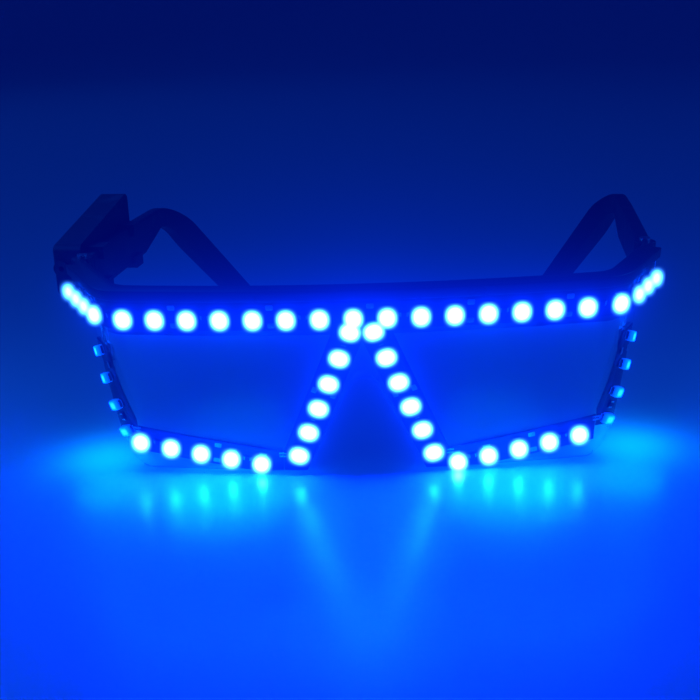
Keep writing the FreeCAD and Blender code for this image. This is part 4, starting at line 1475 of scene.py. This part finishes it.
@dataclass(frozen=True)
class CutPads:
    """Bare pads in pairs across the strips, where these may be cut between groups of lamps."""

    drop: float
    half_length: float = 0.95 * MM
    half_width: float = 0.75 * MM
    corner: float = 0.30 * MM
    corner_loss: float = 0.05 * MM
    edge: float = 0.10 * MM
    sink: float = 0.05 * MM
    rise: float = 0.06 * MM
    off_middle: float = 2.6 * MM
    lamps_per_cut: int = 3
    room: float = 3.8 * MM

    def pair(self) -> bpy.types.Mesh:
        """Two pads beside each other.

        Returns:
            The pads' mesh.
        """
        x, y, edge = self.half_length, self.half_width, self.edge
        pads = []
        for way in (-1, 1):
            rings = [
                ring(x, y, self.corner, -self.sink),
                ring(x, y, self.corner, self.rise / 2),
                ring(x - edge, y - edge, self.corner - self.corner_loss, self.rise),
            ]
            pad = lofted("pad", rings)
            pad.transform(Matrix.Translation((0.0, way * self.off_middle, 0.0)))
            pads.append(pad)
        return joined("pad_pair", pads)

    def spots(self, taken: Sequence[Spot]) -> list[Spot]:
        """Finds places half way between neighbouring lamps that nothing else takes.

        Args:
            taken: the feet of the lamps and resistors.

        Returns:
            The places, turned along their strips.
        """
        group = self.lamps_per_cut
        spots = []
        for strip in STRIPS:
            line = [spot.raised(self.drop) for spot in strip.line()]
            for first, second in zip(line[group - 1 :: group], line[group::group]):
                spot = halfway(first, second)
                if min((other.centre - spot.centre).length for other in taken) > self.room:
                    spots.append(spot)
        return spots


def halfway(first: Spot, second: Spot) -> Spot:
    """Finds the spot half way round the arc between two spots.

    Args:
        first: one spot.
        second: the other spot.

    Returns:
        The spot between them.
    """
    outward = (first.outward + second.outward).normalized()
    gap = second.centre - first.centre
    rise = gap.length / 2 * math.tan(first.outward.angle(second.outward, 0.0) / 4)
    along = (gap - gap.dot(outward) * outward).normalized()
    centre = (first.centre + second.centre) / 2 + rise * outward
    return Spot(centre, along, outward.cross(along), outward)


@dataclass(frozen=True)
class Strip:
    """One flexible strip: its CAD node and the lamps that stand on it."""

    node: str
    row: Row
    side: Side = Side.BOTH

    def lamps(self) -> list[Spot]:
        """Finds the lamps that stand on this strip.

        Returns:
            The lamps' places, in order along it.
        """
        spots = spots_of(f"{self.row.value}_lamp_windows")
        mine = [spot for spot in spots if spot.centre.x * self.side.value >= 0]
        level = self.row in (Row.TOP, Row.BOTTOM)
        return sorted(mine, key=lambda spot: spot.centre.x if level else spot.centre.z)

    def line(self) -> list[Spot]:
        """Turns each of the strip's lamps' places along the strip.

        Returns:
            The places, in order.
        """
        lamps = self.lamps()
        last = len(lamps) - 1
        aligned = []
        for index, spot in enumerate(lamps):
            gap = lamps[min(index + 1, last)].centre - lamps[max(index - 1, 0)].centre
            along = (gap - gap.dot(spot.outward) * spot.outward).normalized()
            aligned.append(Spot(spot.centre, along, spot.outward.cross(along), spot.outward))
        return aligned

    def build(self, finish: Materials) -> None:
        """Builds the strip's film, with a map of distance along it and across it.

        Args:
            finish: the materials by slot.
        """
        made = welded(self.node)
        seam = made.loops.layers.uv.new(STRIP_MAP)
        line = self.line()
        for face in made.faces:
            for loop in face.loops:
                loop[seam].uv = place_along(line, loop.vert.co)
        mesh = bpy.data.meshes.new(self.node + "_film")
        made.to_mesh(mesh)
        made.free()
        smooth_by_angle(mesh)
        piece = shown(mesh.name, mesh, finish[Slot.STRIP])
        settle(piece, Body.FRONT, [self.node])


def place_along(line: Sequence[Spot], point: Vector) -> Pair:
    """Finds a point's place on a strip.

    Args:
        line: the lamps' places along the strip, in order.
        point: the point.

    Returns:
        Its distance along the strip and across it from the middle.
    """
    nearest = min(range(len(line)), key=lambda index: (line[index].centre - point).length)
    steps = zip(line[:nearest], line[1 : nearest + 1])
    before = sum((second.centre - first.centre).length for first, second in steps)
    spot = line[nearest]
    off = point - spot.centre
    return before + off.dot(spot.along), off.dot(spot.across)


STRIPS = (
    Strip("top_strip", Row.TOP),
    Strip("nose_strip_left", Row.NOSE, Side.LEFT),
    Strip("nose_strip_right", Row.NOSE, Side.RIGHT),
    Strip("bottom_strip_left", Row.BOTTOM, Side.LEFT),
    Strip("bottom_strip_right", Row.BOTTOM, Side.RIGHT),
    Strip("side_strip_left", Row.SIDE, Side.LEFT),
    Strip("side_strip_right", Row.SIDE, Side.RIGHT),
)


@dataclass
class Front:
    """The clear visor, the bar over it and the saddle in its notch."""

    finish: Materials
    visor_round: float = 0.25 * MM
    bar_round: float = 0.35 * MM
    saddle_round: float = 0.5 * MM
    link_round: float = 0.05 * MM

    def build(self) -> None:
        """Builds the pieces of the front that aren't lamps."""
        for node, name, slot, rounding in (
            ("visor", "visor_shell", Slot.VISOR, self.visor_round),
            ("brow_bar", "brow_bar_moulding", Slot.BAR, self.bar_round),
            ("nose_piece", "nose_saddle", Slot.SADDLE, self.saddle_round),
            ("strip_links", "link_straps", Slot.SOLDER, self.link_round),
        ):
            piece = softened(node, name, self.finish[slot], rounding)
            if slot is Slot.VISOR:
                # marks the faces that get the visor's painted rim glow
                mark_rim(piece.data)
            settle(piece, Body.FRONT, [node])


@dataclass
class Arms:
    """The two arms with their ear hooks."""

    finish: Materials
    rounding: float = 0.7 * MM

    def build(self) -> None:
        """Builds both arms."""
        for body in (Body.ARM_LEFT, Body.ARM_RIGHT):
            node = body.value
            piece = softened(node, node + "_moulding", self.finish[Slot.ARM], self.rounding)
            settle(piece, body, [node])


@dataclass(frozen=True)
class BoxFrame:
    """The control box's own directions: inward to the arm, back along it, and up."""

    inward: Vector
    back: Vector
    up: Vector

    @classmethod
    def read(cls) -> "BoxFrame":
        """Reads the directions from the button's joint, which presses straight inward.

        Returns:
            The box's directions.
        """
        joint = next(joint for joint in frame["joints"] if joint["name"] == "mode_button_press")
        inward = Vector(joint["axis"]).normalized()
        up = Vector((0.0, 0.0, 1.0))
        return cls(inward, up.cross(inward), up)

    def span(self, node: str) -> tuple[Vector, Vector]:
        """Measures a CAD node in the box's own directions.

        Args:
            node: the CAD node's name.

        Returns:
            Its lowest and highest reach.
        """
        axes = (self.inward, self.back, self.up)
        points = [vertex.co for vertex in frame["nodes"][node].data.vertices]
        reaches = [[point.dot(axis) for point in points] for axis in axes]
        low = Vector([min(reach) for reach in reaches])
        high = Vector([max(reach) for reach in reaches])
        return low, high

    def place(self, reach: Vector) -> Vector:
        """The point at given distances in the box's own directions."""
        return reach.x * self.inward + reach.y * self.back + reach.z * self.up


@dataclass
class ControlBox:
    """The button with its ring, the slider with its ribs, and the lined charging socket."""

    lines: LineLayout
    finish: Materials
    button_round: float = 0.25 * MM
    ring_inner: float = 3.15 * MM
    ring_outer: float = 4.0 * MM
    ring_rise: float = 0.30 * MM
    ring_steps: int = 12
    slider_round: float = 0.15 * MM
    rib_count: int = 4
    rib_pitch: float = 0.55 * MM
    rib_length_share: float = 0.5
    rib_half: float = 0.13 * MM
    rib_rise: float = 0.16 * MM
    sink: float = 0.10 * MM
    tongue_half: float = 0.35 * MM
    tongue_margin: float = 1.3 * MM
    tongue_setback: float = 0.9 * MM
    socket_depth: float = 4.8 * MM
    contact_count: int = 8
    contact_pitch: float = 0.65 * MM
    contact_half: float = 0.16 * MM
    contact_rise: float = 0.03 * MM

    def _button(self, axes: BoxFrame) -> None:
        """The button's cap, and the ring moulded round it on the cover.

        Args:
            axes: the box's directions.
        """
        cap = softened("mode_button", "button_cap", self.finish[Slot.RUBBER], self.button_round)
        settle(cap, Body.BUTTON, ["mode_button"])
        low, high = axes.span("mode_button")
        face, _ = axes.span("box_cover")
        middle = axes.place(Vector((face.x, (low.y + high.y) / 2, (low.z + high.z) / 2)))
        width = (self.ring_outer - self.ring_inner) / 2
        rings = [
            self._circle(self.ring_inner, -self.sink),
            self._circle(self.ring_inner, self.ring_rise / 2),
            self._circle(self.ring_inner + width / 3, self.ring_rise),
            self._circle(self.ring_outer - width, self.ring_rise),
            self._circle(self.ring_outer - width / 3, self.ring_rise / 2),
            self._circle(self.ring_outer, -self.sink),
        ]
        mesh = turned(lofted("button_ring", rings, closed=True), axes.up, axes.back, middle)
        settle(shown(mesh.name, mesh, self.finish[Slot.BOX]), Body.ARM_LEFT)

    def _circle(self, radius: float, height: float) -> list[Vector]:
        """Points round a circle at a height."""
        return ring(radius, radius, radius, height, self.ring_steps)

    def _slider(self, axes: BoxFrame) -> None:
        """The slider's knob, with ribs across its face for a finger nail.

        Args:
            axes: the box's directions.
        """
        knob = softened("power_slider", "slider_knob", self.finish[Slot.SLIDER], self.slider_round)
        settle(knob, Body.SLIDER, ["power_slider"])
        low, high = axes.span("power_slider")
        middle = axes.place(Vector(((low.x + high.x) / 2, high.y, (low.z + high.z) / 2)))
        long, half = self.rib_length_share * (high.x - low.x) / 2, self.rib_half
        rings = [
            ring(long, half, half, -self.sink),
            ring(long, half, half, self.rib_rise / 2),
            ring(long - half / 2, half / 2, half / 2, self.rib_rise),
        ]
        rib = turned(lofted("rib", rings), -axes.inward, axes.up, Vector())
        step = self.rib_pitch * axes.up
        finish = self.finish[Slot.SLIDER]
        ribs = self.lines.laid("slider_ribs", rib, self.rib_count, middle, step, finish)
        settle(ribs, Body.SLIDER)

    def _socket(self, axes: BoxFrame) -> None:
        """The tongue inside the charging socket and the contacts on both of its faces.

        Args:
            axes: the box's directions.
        """
        low, high = axes.span("charging_socket")
        across, upright = (low.x + high.x) / 2, (low.z + high.z) / 2
        half_height = (high.z - low.z) / 2 - self.tongue_margin
        tip, root = high.y - self.tongue_setback, high.y - self.socket_depth
        half, edge = self.tongue_half, self.tongue_half / 2
        rings = [
            ring(half, half_height, half, 0.0),
            ring(half, half_height, half, tip - root - edge),
            ring(half - edge / 2, half_height - edge, half - edge / 2, tip - root),
        ]
        base = axes.place(Vector((across, root, upright)))
        tongue = turned(lofted("socket_tongue", rings), -axes.inward, axes.up, base)
        piece = shown(tongue.name, tongue, self.finish[Slot.SWITCH])
        settle(piece, Body.ARM_LEFT)
        middle = axes.place(Vector((across, (root + tip) / 2, upright)))
        step = self.contact_pitch * axes.up
        pair = self._contacts(axes, (tip - root) / 2 - edge)
        finish = self.finish[Slot.STEEL]
        row = self.lines.laid("socket_contacts", pair, self.contact_count, middle, step, finish)
        settle(row, Body.ARM_LEFT)

    def _contacts(self, axes: BoxFrame, half_length: float) -> bpy.types.Mesh:
        """Two contacts back to back, one on each face of the tongue.

        Args:
            axes: the box's directions.
            half_length: half a contact's length.

        Returns:
            The contacts' mesh.
        """
        half, rise = self.contact_half, self.contact_rise
        pads = []
        for way in (-1, 1):
            rings = [ring(half, half_length, half / 2, end, steps=1) for end in (-rise, rise)]
            pad = lofted("contact", rings)
            middle = axes.place(Vector((way * self.tongue_half, 0.0, 0.0)))
            pads.append(turned(pad, way * axes.up, axes.back, middle))
        return joined("contact_pair", pads)

    def build(self) -> None:
        """Builds the pieces of the box that aren't kept from the CAD model."""
        axes = BoxFrame.read()
        self._button(axes)
        self._slider(axes)
        self._socket(axes)


KEPT_NODES = {
    "hinge_screw_left": Slot.STEEL,
    "hinge_screw_right": Slot.STEEL,
    "box_base": Slot.BOX,
    "box_cover": Slot.BOX,
    "cover_screws": Slot.STEEL,
    "circuit_board": Slot.BOARD,
    "controller_chip": Slot.CHIP,
    "battery_cell": Slot.POUCH,
    "button_switch": Slot.SWITCH,
    "slide_switch": Slot.STEEL,
    "charging_socket": Slot.STEEL,
    "lead_grommet": Slot.RUBBER,
}


def dress_nodes(finish: Materials) -> None:
    """Gives the CAD nodes that are shown as they are their finish.

    Args:
        finish: the materials by slot.
    """
    for node, slot in KEPT_NODES.items():
        for place in frame["nodes"][node].material_slots:
            place.material = finish[slot]
        log.info("%s: kept, in %s", node, slot.value)


# The camera's picture, and the studio


class Picture(NodeTree):
    """The nodes that finish the camera's picture."""

    def mixed(self, way: str, first: Tint, second: Tint) -> bpy.types.NodeSocket:
        """Mixes two pictures or colours in a given way."""
        return self.node("CompositorNodeMixRGB", {1: first, 2: second}, blend_type=way).outputs[0]


@dataclass(frozen=True)
class Lens:
    """How the camera spreads the lamps' light: a close white blot, a wide blue haze and a veil."""

    blot_from: float = 60.0
    blot_to: float = 840.0
    blot_pixels: float = 8.0
    blot_tone: Colour = (0.015, 0.10, 0.4)
    haze_from: float = 1.0
    haze_strength: float = 0.14
    haze_share: float = 0.4
    veil: Colour = (0.0, 0.0, 0.05)

    def build(self) -> None:
        """Builds the compositor's nodes."""
        scene = bpy.context.scene
        scene.use_nodes = True
        tree = Picture(scene.node_tree)
        picture = tree.node("CompositorNodeRLayers").outputs["Image"]
        blue = tree.node("CompositorNodeSeparateColor", {0: picture}).outputs["Blue"]
        bright = tree.node(
            "CompositorNodeMapRange",
            {
                "Value": blue,
                "From Min": self.blot_from,
                "From Max": self.blot_to,
                "To Min": 0.0,
                "To Max": self.blot_to - self.blot_from,
            },
            use_clamp=True,
        )
        reach = (self.blot_pixels, self.blot_pixels)
        blot = tree.node(
            "CompositorNodeBlur", {0: bright.outputs[0], "Size": reach}, filter_type="GAUSS"
        )
        haze = tree.node(
            "CompositorNodeGlare",
            {
                "Image": picture,
                "Threshold": self.haze_from,
                "Strength": self.haze_strength,
                "Size": self.haze_share,
            },
            glare_type="BLOOM",
            quality="HIGH",
        )
        toned = tree.mixed("MULTIPLY", blot.outputs[0], self.blot_tone)
        hazy = tree.mixed("ADD", haze.outputs[0], self.veil)
        tree.node("CompositorNodeComposite", {0: tree.mixed("ADD", hazy, toned)})


@dataclass(frozen=True)
class SoftBox:
    """A round soft light that faces a target and isn't seen itself."""

    name: str
    place: Triple
    size: float
    power: float
    tone: Colour
    target: Triple = (0.0, 0.0, 0.0)

    def build(self) -> None:
        """Builds the light."""
        lamp = bpy.data.lights.new(self.name, "AREA")
        lamp.shape = "DISK"
        lamp.size = self.size
        lamp.energy = self.power
        lamp.color = self.tone
        light = bpy.data.objects.new(self.name, lamp)
        place, target = Vector(self.place), Vector(self.target)
        light.location = place
        light.rotation_euler = (target - place).to_track_quat("-Z", "Y").to_euler()
        light.visible_camera = False
        bpy.context.scene.collection.objects.link(light)


@dataclass(frozen=True)
class Pool:
    """Soft lights, one on each side, that make a pool of the lamps' light on the floor below."""

    off_middle: float
    back: float
    height: float
    size: float
    power: float
    tone: Colour

    def light(self, side: Side, level: float) -> SoftBox:
        """Places the light of one side.

        Args:
            side: the side.
            level: the floor's height.

        Returns:
            The light.
        """
        across = side.value * self.off_middle
        place = (across, self.back, level + self.height)
        return SoftBox("pool", place, self.size, self.power, self.tone, (across, self.back, level))


SOFT_TONE: Colour = (0.005, 0.14, 1.0)
POOL_TONE: Colour = (0.0, 0.25, 1.0)

SOFT_BOXES = (
    SoftBox("key", place=(-0.5, -0.55, 0.75), size=0.7, power=0.7, tone=SOFT_TONE),
    SoftBox("fill", place=(0.65, 0.25, 0.6), size=0.9, power=0.6, tone=SOFT_TONE),
    SoftBox("back", place=(-0.55, 0.75, 0.7), size=0.9, power=0.8, tone=SOFT_TONE),
)

POOLS = (
    Pool(off_middle=0.17, back=0.02, height=0.11, size=0.12, power=0.07, tone=SOFT_TONE),
    Pool(off_middle=0.038, back=0.004, height=0.007, size=0.034, power=0.007, tone=POOL_TONE),
    Pool(off_middle=0.074, back=0.024, height=0.012, size=0.020, power=0.007, tone=POOL_TONE),
)


@dataclass
class Studio:
    """Plain pale floor, soft light, and the camera at the photograph's angle."""

    floor_reach: float = 1.3
    wall_bend: float = 1.1
    wall_height: float = 2.4
    round_steps: int = 96
    bend_steps: int = 16
    camera_target: Triple = (-3.04 * MM, -2.20 * MM, -8.47 * MM)
    camera_distance: float = 274.03 * MM
    camera_yaw: float = 0.03
    camera_rise: float = 0.3343
    camera_roll: float = -0.0369
    clip_near: float = 0.01
    clip_far: float = 100.0
    focal_pixels: float = 1100.0
    picture_pixels: float = 700.0
    sensor_millimetres: float = 36.0
    world_tone: Colour = (0.0004, 0.010, 0.15)
    world_strength: float = 0.65

    def _profile(self) -> list[Pair]:
        """Rounds the floor up into the wall.

        Returns:
            Reach and height of each point.
        """
        level = cad_box[0].z
        profile = [(self.floor_reach, level)]
        for step in range(1, self.bend_steps + 1):
            angle = step / self.bend_steps * math.pi / 2
            reach = self.floor_reach + self.wall_bend * math.sin(angle)
            profile.append((reach, level + self.wall_bend * (1 - math.cos(angle))))
        profile.append((self.floor_reach + self.wall_bend, level + self.wall_height))
        return profile

    def _floor(self) -> None:
        """The floor, level with the lowest point of the glasses, swept up into a plain round wall."""
        made = bmesh.new()
        rows = []
        for reach, height in self._profile():
            turns = [2 * math.pi * step / self.round_steps for step in range(self.round_steps)]
            spots = [(reach * math.cos(turn), reach * math.sin(turn), height) for turn in turns]
            rows.append([made.verts.new(spot) for spot in spots])
        made.faces.new(rows[0])
        for low, high in zip(rows, rows[1:]):
            for here in range(self.round_steps):
                after = (here + 1) % self.round_steps
                made.faces.new((low[here], high[here], high[after], low[after]))
        mesh = bpy.data.meshes.new("floor")
        made.to_mesh(mesh)
        made.free()
        smooth_by_angle(mesh)
        shown("floor", mesh, PaleFloor().material())

    def _world(self) -> None:
        """Even dim light from all round."""
        world = bpy.data.worlds.new("room")
        world.use_nodes = True
        back = world.node_tree.nodes["Background"]
        back.inputs["Color"].default_value = (*self.world_tone, 1.0)
        back.inputs["Strength"].default_value = self.world_strength
        bpy.context.scene.world = world

    def _camera(self) -> None:
        """The camera, from the angles that were fitted to the photograph."""
        yaw, rise, roll = self.camera_yaw, self.camera_rise, self.camera_roll
        back = Vector((math.sin(yaw) * math.cos(rise), -math.cos(yaw) * math.cos(rise), math.sin(rise)))
        level = Vector((math.cos(yaw), math.sin(yaw), 0.0))
        upright = back.cross(level)
        right = math.cos(roll) * level + math.sin(roll) * upright
        up = math.cos(roll) * upright - math.sin(roll) * level
        data = bpy.data.cameras.new("camera")
        data.sensor_width = self.sensor_millimetres
        data.lens = self.sensor_millimetres * self.focal_pixels / self.picture_pixels
        data.clip_start = self.clip_near
        data.clip_end = self.clip_far
        camera = bpy.data.objects.new("camera", data)
        turn = Matrix((right, up, back)).transposed().to_4x4()
        place = Vector(self.camera_target) + self.camera_distance * back
        camera.matrix_world = Matrix.Translation(place) @ turn
        bpy.context.scene.collection.objects.link(camera)
        bpy.context.scene.camera = camera

    def build(self) -> None:
        """Builds the floor, the lights and the camera."""
        self._floor()
        self._world()
        for soft_box in SOFT_BOXES:
            soft_box.build()
        for side in (Side.LEFT, Side.RIGHT):
            for pool in POOLS:
                pool.light(side, cad_box[0].z).build()
        self._camera()
        bpy.context.scene.view_settings.view_transform = "Standard"
        Lens().build()


def main() -> None:
    """Builds the studio and every piece in order."""
    logging.basicConfig(level=logging.INFO, format="%(message)s")
    finish = {slot: look.material() for slot, look in FINISHES.items()}
    spots, lines = SpotLayout(), LineLayout()
    Studio().build()
    Front(finish).build()
    for strip in STRIPS:
        strip.build(finish)
    Lamps(spots, finish).build()
    Arms(finish).build()
    ControlBox(lines, finish).build()
    dress_nodes(finish)


if __name__ == "__main__":
    main()
